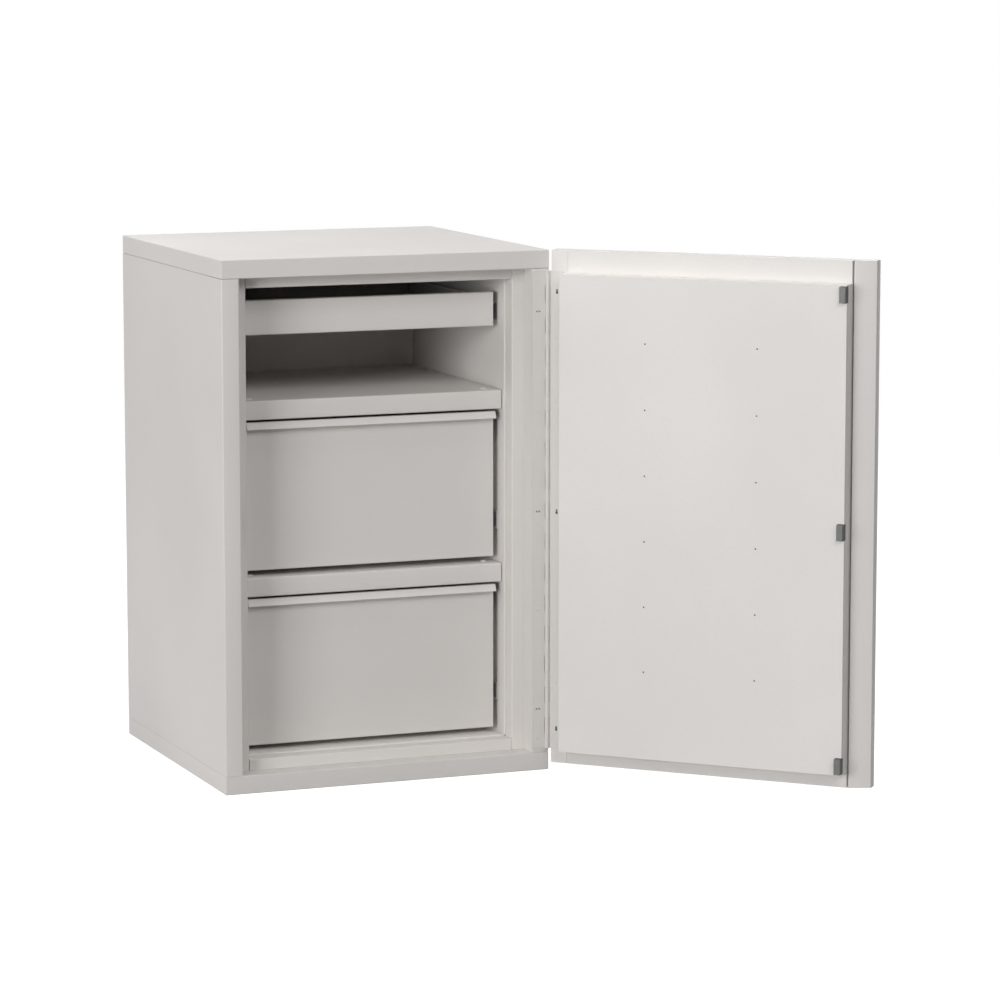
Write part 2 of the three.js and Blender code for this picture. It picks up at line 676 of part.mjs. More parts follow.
// The door's insulation fills the plug and the pan up to the lock's bay, joined by a neck
function doorInsulation() {
  const skin = SHEET + SEAM;
  const lap = RAIL_LAP + SEAM;
  const inPlug = block(
    [plugHinge + skin, bayStart],
    [plugFace + skin, rimY - SEAM],
    [plugRise[0] + skin, plugRise[1] - skin],
  );
  const neck = block(
    [stileSeam + SEAM, bayStart],
    [plugFace + skin, outerY - skin],
    [plugRise[0] + lap, plugRise[1] - lap],
  );
  const inPan = block(
    [doorEdge + skin, bayStart],
    [rimY + skin, outerY - skin],
    [DOOR_BOTTOM + skin, HEIGHT - skin],
  );
  return inPlug.add(neck).add(inPan);
}

// The lock case holds the spindle and the key cylinder inside the door
function lockCase() {
  const x = [spindleX - CASE_REACH, stileStart - SLIT_LAP - SEAM];
  const body = block(x, caseY, [spindleZ - CASE_MARGIN, keyZ + CASE_MARGIN]);
  const through = [caseY[0] - SHEET, caseY[1] + SHEET];
  const cylinder = rod([spindleX, keyZ], CYLINDER_RADIUS + SEAM, "y", through);
  return body.subtract(rod([spindleX, spindleZ], SPINDLE_BORE, "y", through)).subtract(cylinder);
}

// A bridge on the plug's inside that the bolt bar slides in
function barGuide(z) {
  const bar = [barMiddle - BAR_WIDTH / 2, barMiddle + BAR_WIDTH / 2 + BOLT_THROW];
  const rise = [z - GUIDE_HEIGHT / 2, z + GUIDE_HEIGHT / 2];
  const x = [bar[0] - GUIDE_WALL, bar[1] + GUIDE_WALL];
  const bridge = block(x, [plugInner + SEAM, barY[1] + SEAM + GUIDE_BACK], rise);
  const slotX = [bar[0] - BOLT_CLEARANCE, bar[1] + BOLT_CLEARANCE];
  const slotZ = [rise[0] - SHEET, rise[1] + SHEET];
  return bridge.subtract(block(slotX, [barY[0] - SEAM, barY[1] + SEAM], slotZ));
}

function escutcheon() {
  const halfWidth = ESCUTCHEON_WIDTH / 2 - ESCUTCHEON_CORNER;
  const rise = [spindleZ - ESCUTCHEON_MARGIN, keyZ + ESCUTCHEON_MARGIN];
  const corner = (x, z, from) => arc([x, z], ESCUTCHEON_CORNER, 3, from, 90);
  const outline = [
    ...corner(spindleX + halfWidth, rise[1] - ESCUTCHEON_CORNER, 0),
    ...corner(spindleX - halfWidth, rise[1] - ESCUTCHEON_CORNER, 90),
    ...corner(spindleX - halfWidth, rise[0] + ESCUTCHEON_CORNER, 180),
    ...corner(spindleX + halfWidth, rise[0] + ESCUTCHEON_CORNER, 270),
  ];
  const through = [escutcheonY[0] - SHEET, escutcheonY[1] + SHEET];
  return prism(outline, "y", escutcheonY).subtract(lockHoles(through));
}

function lockCylinder() {
  const y = [escutcheonY[1] + CYLINDER_PROUD - CYLINDER_LENGTH, escutcheonY[1] + CYLINDER_PROUD];
  const bore = rod([spindleX, keyZ], CORE_RADIUS + SEAM, "y", [y[0] - SHEET, y[1] + SHEET]);
  return rod([spindleX, keyZ], CYLINDER_RADIUS, "y", y).subtract(bore);
}

function door(group) {
  place(group, "hinge_door_leaf", hingeLeaf(1, 1, DOOR_LEAF_HOLES), BODY_PAINT);
  place(group, "door_skin", doorSkin(), DOOR_PAINT);
  place(group, "door_top_rail", doorRail(HEIGHT, plugRise[1]), DOOR_PAINT);
  place(group, "door_bottom_rail", doorRail(DOOR_BOTTOM, plugRise[0]), DOOR_PAINT);
  place(group, "door_plug", doorPlug(), DOOR_PAINT);
  place(group, "door_insulation", doorInsulation(), INSULATION);
  place(group, "lock_case", lockCase(), ZINC);
  place(group, "lower_bar_guide", barGuide((bolts.middle_bolt + bolts.bottom_bolt) / 2), ZINC);
  place(group, "upper_bar_guide", barGuide((bolts.middle_bolt + bolts.top_bolt) / 2), ZINC);
  place(group, "lock_escutcheon", escutcheon(), CHROME);
  place(group, "lock_cylinder", lockCylinder(), CHROME);
}

// Bolts and bar: they slide together towards the free edge
function boltWork(group) {
  const pinReach = BOLT_THROW / 2;
  const rise = [bolts.bottom_bolt - BOLT_TAIL_HEIGHT / 2, bolts.top_bolt + BOLT_TAIL_HEIGHT / 2];
  const bar = block([barMiddle - BAR_WIDTH / 2, barMiddle + BAR_WIDTH / 2], barY, rise);
  const pinSweep = pinReach * (Math.SQRT2 - 1);
  const halfSlot = CRANK_PIN_RADIUS + CRANK_SLOT_PLAY;
  const slotZ = [spindleZ + pinReach - halfSlot, spindleZ + pinReach + pinSweep + halfSlot];
  const slotY = [barY[0] - SEAM, barY[1] + SEAM];
  const slot = block([barMiddle - halfSlot, barMiddle + halfSlot], slotY, slotZ);
  place(group, "bolt_bar", bar.subtract(slot), ZINC);
  const headX = [plugFree - BOLT_WIDTH, plugFree];
  for (const [name, z] of Object.entries(bolts)) {
    const half = BOLT_HEIGHT / 2;
    const head = block(headX, [plugFace - BOLT_PROUD, tailY[1]], [z - half, z + half]);
    const tailX = [barMiddle - BAR_WIDTH / 4, headX[0] + BOLT_CLEARANCE];
    const tail = block(tailX, tailY, [z - BOLT_TAIL_HEIGHT / 2, z + BOLT_TAIL_HEIGHT / 2]);
    place(group, name, head.add(tail), DARK_STEEL);
  }
}

// The lever hangs straight down while the bolts are drawn back
function leverHandle() {
  const centre = [spindleX, spindleZ];
  const boss = rod(centre, BOSS_RADIUS, "y", [outerY - SHEET, hubY[0] + SHEET]);
  const hub = rod(centre, HUB_RADIUS, "y", hubY);
  const armY = [hubY[1] - LEVER_THICKNESS, hubY[1]];
  const half = LEVER_WIDTH / 2;
  const tip = spindleZ - LEVER_LENGTH + half;
  const outline = [...arc([spindleX, tip], half, 6, 180, 180), ...arc(centre, half, 6, 0, 180)];
  const socket = block(
    [spindleX - SPINDLE_SIDE / 2 - SEAM, spindleX + SPINDLE_SIDE / 2 + SEAM],
    [outerY - 2 * SHEET, hubY[0] + LEVER_THICKNESS / 2 + SEAM],
    [spindleZ - SPINDLE_SIDE / 2 - SEAM, spindleZ + SPINDLE_SIDE / 2 + SEAM],
  );
  return boss.add(hub).add(prism(outline, "y", armY)).subtract(socket);
}

// A square spindle with a disc and a crank pin on its inner end. The disc has a land that the
// lock's cam stops.
function crankSpindle() {
  const centre = [spindleX, spindleZ];
  const half = SPINDLE_SIDE / 2;
  const shaftY = [discY[0], hubY[0] + LEVER_THICKNESS / 2];
  const shaft = block([spindleX - half, spindleX + half], shaftY, [spindleZ - half, spindleZ + half]);
  const outline = [
    ...arc(centre, DISC_LAND_RADIUS, 4, LAND_START, LAND_SPAN),
    ...arc(centre, DISC_RADIUS, 18, LAND_START + LAND_SPAN, 360 - LAND_SPAN),
  ];
  const reach = BOLT_THROW / 2;
  const pinY = [barY[0], discY[0] + SHEET];
  const pin = rod([spindleX - reach, spindleZ + reach], CRANK_PIN_RADIUS, "y", pinY);
  return prism(outline, "y", discY).add(shaft).add(pin);
}

function handle(group) {
  place(group, "lever_handle", leverHandle(), CHROME);
  place(group, "crank_spindle", crankSpindle(), ZINC);
}

// The key's core and the cam that stops the crank disc
function keyWork(group) {
  const centre = [spindleX, keyZ];
  const front = escutcheonY[1] + CYLINDER_PROUD + SEAM;
  const core = rod(centre, CORE_RADIUS, "y", [discY[1] + SEAM, front]);
  const keyway = block(
    [spindleX - KEYWAY_WIDTH / 2, spindleX + KEYWAY_WIDTH / 2],
    [front - KEYWAY_DEPTH, front + SHEET],
    [keyZ - KEYWAY_HEIGHT / 2, keyZ + KEYWAY_HEIGHT / 2],
  );
  place(group, "lock_core", core.subtract(keyway), CHROME);
  const tongueZ = [keyZ - CAM_WIDTH / 2, keyZ + CAM_WIDTH / 2];
  const tongue = block([spindleX - CAM_LENGTH, spindleX], discY, tongueZ);
  place(group, "lock_cam", rod(centre, CORE_RADIUS, "y", discY).add(tongue), ZINC);
}

const cabinet = new THREE.Group();
cabinet.position.set(-WIDTH / 2, -DEPTH / 2, 0);
outerShell(cabinet);
frontFrame(cabinet);
liner(cabinet);
insulation(cabinet);
shelves(cabinet);
tray(cabinet);
filingDrawer(cabinet, "upper_drawer", UPPER_SHELF_TOP - SHELF_HEIGHT - DRAWER_GAP);
filingDrawer(cabinet, "lower_drawer", LOWER_SHELF_TOP - SHELF_HEIGHT - DRAWER_GAP);

const hingeAxis = new THREE.Group();
hingeAxis.position.set(WIDTH - HINGE_INSET, -axisStandOff, 0);
frameHinge(hingeAxis);
cabinet.add(hingeAxis);

const openDoor = new THREE.Group();
openDoor.rotation.z = THREE.MathUtils.degToRad(180 + OPENING_ANGLE);
door(openDoor);
boltWork(openDoor);
handle(openDoor);
keyWork(openDoor);
hingeAxis.add(openDoor);

const fireproofCabinet = new THREE.Group();
fireproofCabinet.add(cabinet);
export default fireproofCabinet;
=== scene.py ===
"""The looks of a fireproof storage cabinet: finishes, folded sheet, fixings, lock and studio.

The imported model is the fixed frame. Its nodes keep their places and get a finish and rounded
edges. The pieces that need a finer shape than a faceted solid are modelled here and stand for
their nodes. Lengths are millimetres until a mesh is finished, and metres after that.
"""

import json
import logging
import math
from collections.abc import Iterable, Sequence
from dataclasses import dataclass, field
from enum import Enum

import bmesh
import bpy
from mathutils import Matrix, Vector


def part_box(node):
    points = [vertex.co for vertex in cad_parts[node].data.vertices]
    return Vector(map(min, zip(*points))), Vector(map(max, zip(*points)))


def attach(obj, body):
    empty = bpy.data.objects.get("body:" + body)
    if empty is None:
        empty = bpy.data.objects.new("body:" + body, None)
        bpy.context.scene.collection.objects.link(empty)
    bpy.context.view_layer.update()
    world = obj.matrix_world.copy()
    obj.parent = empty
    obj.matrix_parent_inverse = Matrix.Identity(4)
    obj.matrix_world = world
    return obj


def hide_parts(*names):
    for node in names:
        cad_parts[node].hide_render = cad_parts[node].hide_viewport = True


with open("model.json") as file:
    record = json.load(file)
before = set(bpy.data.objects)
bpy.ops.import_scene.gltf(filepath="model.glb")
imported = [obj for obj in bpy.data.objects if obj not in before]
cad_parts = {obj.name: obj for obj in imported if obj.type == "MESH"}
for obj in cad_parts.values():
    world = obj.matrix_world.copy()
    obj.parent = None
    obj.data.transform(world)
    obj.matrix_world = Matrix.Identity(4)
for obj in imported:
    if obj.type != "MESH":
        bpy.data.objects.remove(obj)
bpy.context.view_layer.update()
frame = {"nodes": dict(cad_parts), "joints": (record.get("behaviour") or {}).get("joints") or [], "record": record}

LOG = logging.getLogger("cabinet")
MM = 0.001
# From the pin's axis to the screws of both leaves.
HINGE_SETBACK = 18.0
# How far a cutter passes what it cuts.
OVERCUT = 1.0
# How near the ends of a turned profile are made one vertex.
WELD_REACH = 1e-4

Pair = tuple[float, float]
Triple = tuple[float, float, float]
Color = Triple
Box = tuple[Pair, Pair, Pair]
Profile = tuple[Pair, ...]
Shape = bmesh.types.BMesh
Vert = bmesh.types.BMVert
Face = bmesh.types.BMFace
Socket = bpy.types.NodeSocket


class Body(Enum):
    """The bodies that new pieces ride on."""

    CABINET = "cabinet"
    TRAY = "tray"
    UPPER_DRAWER = "upper_drawer"
    LOWER_DRAWER = "lower_drawer"
    UPPER_SLIDES = "upper_slides"
    LOWER_SLIDES = "lower_slides"
    DOOR = "door"
    HANDLE = "handle"
    KEY = "key"


class Slot(Enum):
    """The record's material slots."""

    BODY_PAINT = "body_paint"
    DOOR_PAINT = "door_paint"
    INTERIOR_PAINT = "interior_paint"
    DRAWER_PAINT = "drawer_paint"
    ZINC_STEEL = "zinc_steel"
    BOLT_STEEL = "bolt_steel"
    LOCK_CHROME = "lock_chrome"
    MINERAL_FIBRE = "mineral_fibre"


Palette = dict[Slot, bpy.types.Material]


class Axis(Enum):
    """An axis of the frame, by its index in a vector."""

    X = 0
    Y = 1
    Z = 2


class NodeBench:
    """A node tree on the bench, with short calls that add nodes and join them."""

    # Places of the colours among a Mix node's inputs and outputs, which share their names.
    COLOR_ENDS = (6, 7)
    COLOR_RESULT = 2

    def __init__(self, tree: bpy.types.NodeTree) -> None:
        """Takes a tree and empties it."""
        self.tree = tree
        self.tree.nodes.clear()

    @classmethod
    def of(cls, owner: bpy.types.Material | bpy.types.World) -> "NodeBench":
        """The bench of a material or a world."""
        owner.use_nodes = True
        return cls(owner.node_tree)

    def add(self, kind: str, sockets: dict | None = None, **settings: object) -> bpy.types.Node:
        """Adds a node.

        Args:
            kind: The node's type.
            sockets: A number, a colour or another node's output for each input.
            settings: The node's own settings.

        Returns:
            The new node.
        """
        node = self.tree.nodes.new(kind)
        for name, value in settings.items():
            setattr(node, name, value)
        for name, value in (sockets or {}).items():
            if isinstance(value, Socket):
                self.tree.links.new(value, node.inputs[name])
            else:
                node.inputs[name].default_value = value
        return node

    def place(self, scale: Sequence[float] = (1, 1, 1)) -> Socket:
        """The point on the piece, in metres, stretched along the axes."""
        point = self.add("ShaderNodeTexCoord").outputs["Object"]
        return self.add("ShaderNodeMapping", {"Vector": point, "Scale": scale}).outputs["Vector"]

    def noise(self, point: Socket, scale: float, detail: float = 2) -> Socket:
        """A noise value from 0 to 1 with a number of waves per metre."""
        sockets = {"Vector": point, "Scale": scale, "Detail": detail}
        return self.add("ShaderNodeTexNoise", sockets).outputs["Fac"]

    def spread(
        self, value: Socket, start: float, end: float, low: float = 0, high: float = 1
    ) -> Socket:
        """Maps a stretch of a value on to another."""
        ends = {"From Min": start, "From Max": end, "To Min": low, "To Max": high}
        return self.add("ShaderNodeMapRange", {"Value": value, **ends}).outputs["Result"]

    def blend(self, share: Socket, first: Color | Socket, second: Color | Socket) -> Socket:
        """Mixes two colours.

        Args:
            share: How much there is of the second.
            first: A colour or an output.
            second: A colour or an output.

        Returns:
            The colour between them.
        """
        sockets = {0: share}
        for index, end in zip(self.COLOR_ENDS, (first, second)):
            sockets[index] = end if isinstance(end, Socket) else (*end, 1)
        mix = self.add("ShaderNodeMix", sockets, data_type="RGBA")
        return mix.outputs[self.COLOR_RESULT]

    def bump(
        self, height: Socket, strength: float, depth: float, under: Socket | None = None
    ) -> Socket:
        """Bumps the surface.

        Args:
            height: A value from 0 to 1.
            strength: How much of the bump shows.
            depth: The bump's height in metres.
            under: A bumped normal that this one lies on.

        Returns:
            The normal.
        """
        sockets = {"Height": height, "Strength": strength, "Distance": depth}
        if under is not None:
            sockets["Normal"] = under
        return self.add("ShaderNodeBump", sockets).outputs["Normal"]

    def shown(self) -> Socket:
        """Tells the rays that show a background from those that carry light.

        Returns:
            One for camera, glossy and transmission rays.
        """
        rays = self.add("ShaderNodeLightPath").outputs
        value = rays["Is Camera Ray"]
        for name in ("Is Glossy Ray", "Is Transmission Ray"):
            sockets = {0: value, 1: rays[name]}
            value = self.add("ShaderNodeMath", sockets, operation="MAXIMUM").outputs[0]
        return value


def middle(span: Pair) -> float:
    """The middle of a reach."""
    return (span[0] + span[1]) / 2


def about(centre: float, half: float) -> Pair:
    """The reach of a half width to both sides of a centre."""
    return centre - half, centre + half


def inset(span: Pair, gap: float) -> Pair:
    """A reach that is shorter by a gap at each end."""
    return span[0] + gap, span[1] - gap


def meshed(name: str, shape: Shape) -> bpy.types.Mesh:
    """Turns a shape into a mesh.

    Args:
        name: The mesh's name.
        shape: The shape, which is used up.

    Returns:
        The mesh.
    """
    mesh = bpy.data.meshes.new(name)
    shape.to_mesh(mesh)
    shape.free()
    return mesh


def placed(name: str, data: bpy.types.ID) -> bpy.types.Object:
    """Puts a mesh, a light or a camera in the scene.

    Args:
        name: The object's name.
        data: What it shows.

    Returns:
        The object, at the origin.
    """
    item = bpy.data.objects.new(name, data)
    bpy.context.scene.collection.objects.link(item)
    return item


def shaded(color: Color, share: float) -> Color:
    """The colour times a share."""
    return tuple(channel * share for channel in color)


@dataclass(frozen=True)
class Finish:
    """A surface with one shader. Each kind of finish works out the shader's inputs."""

    name: str
    color: Color

    def material(self) -> bpy.types.Material:
        """Builds the finish.

        Returns:
            Its material.
        """
        material = bpy.data.materials.new(self.name)
        bench = NodeBench.of(material)
        shader = bench.add("ShaderNodeBsdfPrincipled", self.inputs(bench))
        bench.add("ShaderNodeOutputMaterial", {"Surface": shader.outputs["BSDF"]})
        return material

    def inputs(self, bench: NodeBench) -> dict[str, float | Socket]:
        """The shader's inputs by name."""
        raise NotImplementedError

    def toned(self, bench: NodeBench, value: Socket, reach: Pair, share: float) -> Socket:
        """The finish's colour, and a share of it where a value is high in its reach."""
        return bench.blend(bench.spread(value, *reach), self.color, shaded(self.color, share))


@dataclass(frozen=True)
class PowderCoat(Finish):
    """Sprayed and baked powder paint: a fine orange peel, a faint speckle and a satin sheen."""

    roughness: float = 0.52
    peel: float = 0.16
    specular: float = 0.35

    def inputs(self, bench: NodeBench) -> dict[str, float | Socket]:
        """Sprays the paint on.

        Args:
            bench: The material's nodes.

        Returns:
            The shader's inputs.
        """
        point = bench.place()
        cloud = bench.noise(point, 2.6, 3)
        speck = bench.noise(point, 320, 1)
        peel = bench.noise(point, 520, 2)
        grain = bench.noise(point, 2100, 1)
        tone = self.toned(bench, cloud, (0.35, 0.65), 0.965)
        specks = bench.spread(speck, 0.55, 0.8, 0, 0.5)
        low, high = self.roughness - 0.04, self.roughness + 0.06
        return {
            "Base Color": bench.blend(specks, tone, shaded(self.color, 0.9)),
            "Roughness": bench.spread(cloud, 0.3, 0.7, low, high),
            "Specular IOR Level": self.specular,
            "Normal": bench.bump(grain, self.peel, 0.00004, bench.bump(peel, self.peel, 0.00016)),
        }


@dataclass(frozen=True)
class RolledSteel(Finish):
    """Plated sheet steel: drawn lines along one axis under a thin, mottled plating."""

    roughness: float = 0.38
    grain: Axis = Axis.Y
    metallic: float = 1.0
    lines: float = 900.0
    line_ends: float = 14.0

    def inputs(self, bench: NodeBench) -> dict[str, float | Socket]:
        """Rolls and plates the steel.

        Args:
            bench: The material's nodes.

        Returns:
            The shader's inputs.
        """
        stretch = [self.line_ends if axis is self.grain else self.lines for axis in Axis]
        drawn = bench.noise(bench.place(stretch), 1, 3)
        point = bench.place()
        tarnish = bench.spread(bench.noise(point, 9, 2), 0.5, 0.8, 0, 0.5)
        tone = self.toned(bench, bench.noise(point, 46, 4), (0.35, 0.65), 0.86)
        return {
            "Base Color": bench.blend(tarnish, tone, shaded(self.color, 0.72)),
            "Metallic": self.metallic,
            "Roughness": bench.spread(drawn, 0.3, 0.7, self.roughness - 0.08, self.roughness + 0.1),
            "Normal": bench.bump(drawn, 0.25, 0.00005),
        }


@dataclass(frozen=True)
class SatinChrome(Finish):
    """Satin chrome plate with hairline scratches and the haze that hands leave."""

    def inputs(self, bench: NodeBench) -> dict[str, float | Socket]:
        """Plates the metal.

        Args:
            bench: The material's nodes.

        Returns:
            The shader's inputs.
        """
        haze = bench.noise(bench.place(), 60, 4)
        hairline = bench.noise(bench.place((2400, 160, 300)), 1, 2)
        return {
            "Base Color": self.toned(bench, haze, (0.4, 0.8), 0.94),
            "Metallic": 1.0,
            "Roughness": bench.spread(haze, 0.3, 0.75, 0.16, 0.3),
            "Normal": bench.bump(hairline, 0.05, 0.00002),
        }


@dataclass(frozen=True)
class FibreBoard(Finish):
    """Pressed mineral fibre: matt, with short strands and pores."""

    def inputs(self, bench: NodeBench) -> dict[str, float | Socket]:
        """Presses the board.

        Args:
            bench: The material's nodes.

        Returns:
            The shader's inputs.
        """
        strand = bench.noise(bench.place((140, 1300, 700)), 1, 4)
        pore = bench.noise(bench.place(), 700, 3)
        return {
            "Base Color": self.toned(bench, strand, (0.35, 0.7), 0.78),
            "Roughness": bench.spread(pore, 0.3, 0.7, 0.88, 1.0),
            "Normal": bench.bump(pore, 0.5, 0.0004, bench.bump(strand, 0.5, 0.0005)),
        }


PAINT = (0.751, 0.722, 0.697)
DOOR_PAINT = (0.814, 0.783, 0.758)
FINISHES = {
    Slot.BODY_PAINT: PowderCoat("body_paint_coat", PAINT),
    Slot.DOOR_PAINT: PowderCoat("door_paint_coat", DOOR_PAINT),
    Slot.INTERIOR_PAINT: PowderCoat("interior_paint_coat", shaded(PAINT, 0.98), 0.55),
    Slot.DRAWER_PAINT: PowderCoat("drawer_paint_coat", shaded(PAINT, 0.99), 0.54),
    Slot.ZINC_STEEL: RolledSteel("zinc_plated_steel", (0.6, 0.6, 0.59), metallic=0.5),
    Slot.BOLT_STEEL: RolledSteel("dark_bolt_steel", (0.1, 0.1, 0.097), 0.46, Axis.Z),
    Slot.LOCK_CHROME: SatinChrome("satin_chrome", (0.5, 0.505, 0.51)),
    Slot.MINERAL_FIBRE: FibreBoard("mineral_fibre_board", (0.7, 0.66, 0.56)),
}


def smooth_by_angle(limit: float) -> bpy.types.NodeTree:
    """A modifier group that shades faces smooth and keeps sharp the edges over an angle.

    Args:
        limit: The angle in degrees.

    Returns:
        The geometry node group.
    """
    group = bpy.data.node_groups.new(f"smooth_under_{limit:.0f}", "GeometryNodeTree")
    for way in ("INPUT", "OUTPUT"):
        group.interface.new_socket("Geometry", in_out=way, socket_type="NodeSocketGeometry")
    bench = NodeBench(group)
    kind = "GeometryNodeSetShadeSmooth"
    start = bench.add("NodeGroupInput").outputs["Geometry"]
    faces = bench.add(kind, {"Geometry": start}).outputs["Geometry"]
    angle = bench.add("GeometryNodeInputMeshEdgeAngle").outputs["Unsigned Angle"]
    ends = {"A": angle, "B": math.radians(limit)}
    sharp = bench.add("FunctionNodeCompare", ends, operation="GREATER_THAN").outputs["Result"]
    kept = {"Geometry": faces, "Selection": sharp, "Shade Smooth": False}
    edges = bench.add(kind, kept, domain="EDGE").outputs["Geometry"]
    bench.add("NodeGroupOutput", {"Geometry": edges})
    return group


def round_edges(item: bpy.types.Object, radius: float, limit: float, harden: bool) -> None:
    """Rounds an object's edges.

    Args:
        item: The object.
        radius: The rounding in millimetres.
        limit: The angle in degrees over which an edge is rounded.
        harden: Whether the faces beside it are shaded flat.
    """
    rounding = item.modifiers.new("rounding", "BEVEL")
    rounding.width = radius * MM
    rounding.segments = 2
    rounding.limit_method = "ANGLE"
    rounding.angle_limit = math.radians(limit)
    rounding.harden_normals = harden


@dataclass
class CarriedNodes:
    """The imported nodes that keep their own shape: each gets its finish and rounded edges."""

    palette: Palette
    rounding: float = 0.6
    fine_rounding: float = 0.25
    weld: float = 0.01
    flat_limit: float = 0.5
    sharp_limit: float = 30
    fine: frozenset[str] = frozenset({"hinge_frame_leaf", "door_plug"})

    def dress(self) -> None:
        """Finishes every node that no other piece stands for."""
        slots = {row["node"]: Slot(row["material_slot"]) for row in frame["record"]["subparts"]}
        smoothing = smooth_by_angle(self.sharp_limit)
        for name, node in frame["nodes"].items():
            node.data.materials.clear()
            node.data.materials.append(self.palette[slots[name]])
            if not node.hide_render:
                self.soften(node, smoothing)
                LOG.info("carried %s in %s", name, slots[name].value)

    def soften(self, node: bpy.types.Object, smoothing: bpy.types.NodeTree) -> None:
        """Welds a node's loose triangles, joins the flat ones and rounds its edges.

        Args:
            node: The node's object.
            smoothing: The group that shades its round faces smooth.
        """
        node.modifiers.new("weld", "WELD").merge_threshold = self.weld * MM
        flat = node.modifiers.new("flat", "DECIMATE")
        flat.decimate_type = "DISSOLVE"
        flat.angle_limit = math.radians(self.flat_limit)
        radius = self.fine_rounding if node.name in self.fine else self.rounding
        round_edges(node, radius, self.sharp_limit, harden=False)
        node.modifiers.new("shading", "NODES").node_group = smoothing
        node.modifiers.new("even_normals", "WEIGHTED_NORMAL").keep_sharp = True


@dataclass
class Piece:
    """A finished shape on its way to becoming an object."""

    name: str
    shape: Shape
    body: Body
    slot: Slot
    replaces: tuple[str, ...] = ()
    place: Matrix = field(default_factory=lambda: Matrix.Identity(4))
    sharp_limit: float = 35
    edge_radius: float = 0
    edge_limit: float = 50
    has_flats: bool = False

    def make(self, palette: Palette) -> bpy.types.Object:
        """Moves the shape to its place in metres and puts it on its body.

        Args:
            palette: The materials.

        Returns:
            The piece's object.
        """
        move(self.shape, Matrix.Scale(MM, 4) @ self.place)
        for face in self.shape.faces:
            face.smooth = True
        mesh = meshed(self.name, self.shape)
        mesh.set_sharp_from_angle(angle=math.radians(self.sharp_limit))
        mesh.materials.append(palette[self.slot])
        piece = placed(self.name, mesh)
        if self.edge_radius:
            round_edges(piece, self.edge_radius, self.edge_limit, harden=True)
        if self.has_flats:
            piece.modifiers.new("even_normals", "WEIGHTED_NORMAL").keep_sharp = True
        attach(piece, self.body.value)
        if self.replaces:
            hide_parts(*self.replaces)
        LOG.info("made %s on %s: %d faces", self.name, self.body.value, len(mesh.polygons))
        return piece


def upright(axis: Axis) -> Matrix:
    """The turn that takes +Z to an axis, or to the axis's back for Y.

    Args:
        axis: The axis. Outlines (a, b) come to lie on (y, z), (x, z) or (x, y).

    Returns:
        The turn.
    """
    columns = {
        Axis.X: ((0, 1, 0), (0, 0, 1), (1, 0, 0)),
        Axis.Y: ((1, 0, 0), (0, 0, 1), (0, -1, 0)),
        Axis.Z: ((1, 0, 0), (0, 1, 0), (0, 0, 1)),
    }
    return Matrix(columns[axis]).transposed().to_4x4()


def move(shape: Shape, matrix: Matrix) -> None:
    """Moves a whole shape."""
    bmesh.ops.transform(shape, matrix=matrix, verts=shape.verts)


def drawn_verts(result: dict) -> list[Vert]:
    """The vertices among what an operator made."""
    return [item for item in result["geom"] if isinstance(item, Vert)]


def ease(
    shape: Shape,
    parts: Sequence[Vert | bmesh.types.BMEdge],
    offset: float,
    segments: int,
    affect: str = "EDGES",
) -> None:
    """Rounds some of a shape's edges or corners.

    Args:
        shape: The shape.
        parts: Its edges or vertices.
        offset: How far the rounding reaches along each side.
        segments: The number of steps in it.
        affect: EDGES or VERTICES.
    """
    bmesh.ops.bevel(
        shape,
        geom=parts,
        offset=offset,
        offset_type="OFFSET",
        segments=segments,
        profile=0.5,
        affect=affect,
        material=-1,
    )


@dataclass(frozen=True)
class FoldedSheet:
    """Sheet steel bent along an outline. The outline is one face, and the sheet is on its left."""

    outline: Profile
    thickness: float
    bend: float
    axis: Axis
    span: Pair
    steps: int = 5

    def build(self) -> Shape:
        """Rounds the outline's corners, pulls it along the axis and gives it its thickness.

        Returns:
            The closed sheet.
        """
        shape = bmesh.new()
        line = [shape.verts.new((a, b, 0)) for a, b in self.outline]
        for pair in zip(line, line[1:]):
            shape.edges.new(pair)
        arounds = zip(self.outline, self.outline[1:], self.outline[2:])
        for corner, around in zip(line[1:-1], arounds):
            self.round(shape, corner, [Vector(point) for point in around])
        pulled = bmesh.ops.extrude_edge_only(shape, edges=shape.edges[:])
        low, high = self.reach()
        bmesh.ops.translate(shape, verts=shape.verts, vec=(0, 0, low))
        bmesh.ops.translate(shape, verts=drawn_verts(pulled), vec=(0, 0, high - low))
        bmesh.ops.recalc_face_normals(shape, faces=shape.faces)
        self.turn_left(shape)
        bmesh.ops.solidify(shape, geom=shape.faces[:], thickness=self.thickness)
        move(shape, upright(self.axis))
        return shape

    def reach(self) -> Pair:
        """The low and high ends along the turned axis, which points back for Y."""
        low, high = self.span
        return (-high, -low) if self.axis is Axis.Y else (low, high)

    def round(self, shape: Shape, corner: Vert, around: Sequence[Vector]) -> None:
        """Gives one corner of the line the radius of the bend.

        Args:
            shape: The mesh that holds the line.
            corner: The corner's vertex.
            around: The outline's points before, at and after the corner.
        """
        before, after = around[1] - around[0], around[2] - around[1]
        turns_left = before.cross(after) > 0
        radius = self.bend + (self.thickness if turns_left else 0)
        ease(shape, [corner], radius * math.tan(before.angle(after) / 2), self.steps, "VERTICES")

    def turn_left(self, shape: Shape) -> None:
        """Points the faces away from the side that the sheet grows to.

        Args:
            shape: The pulled outline.
        """
        start, end = (Vector(point) for point in self.outline[:2])
        centre, along = (start + end) / 2, end - start
        nearest = min(
            shape.faces, key=lambda face: (face.calc_center_median().to_2d() - centre).length
        )
        if nearest.normal.dot(Vector((along.y, -along.x, 0))) < 0:
            bmesh.ops.reverse_faces(shape, faces=shape.faces)


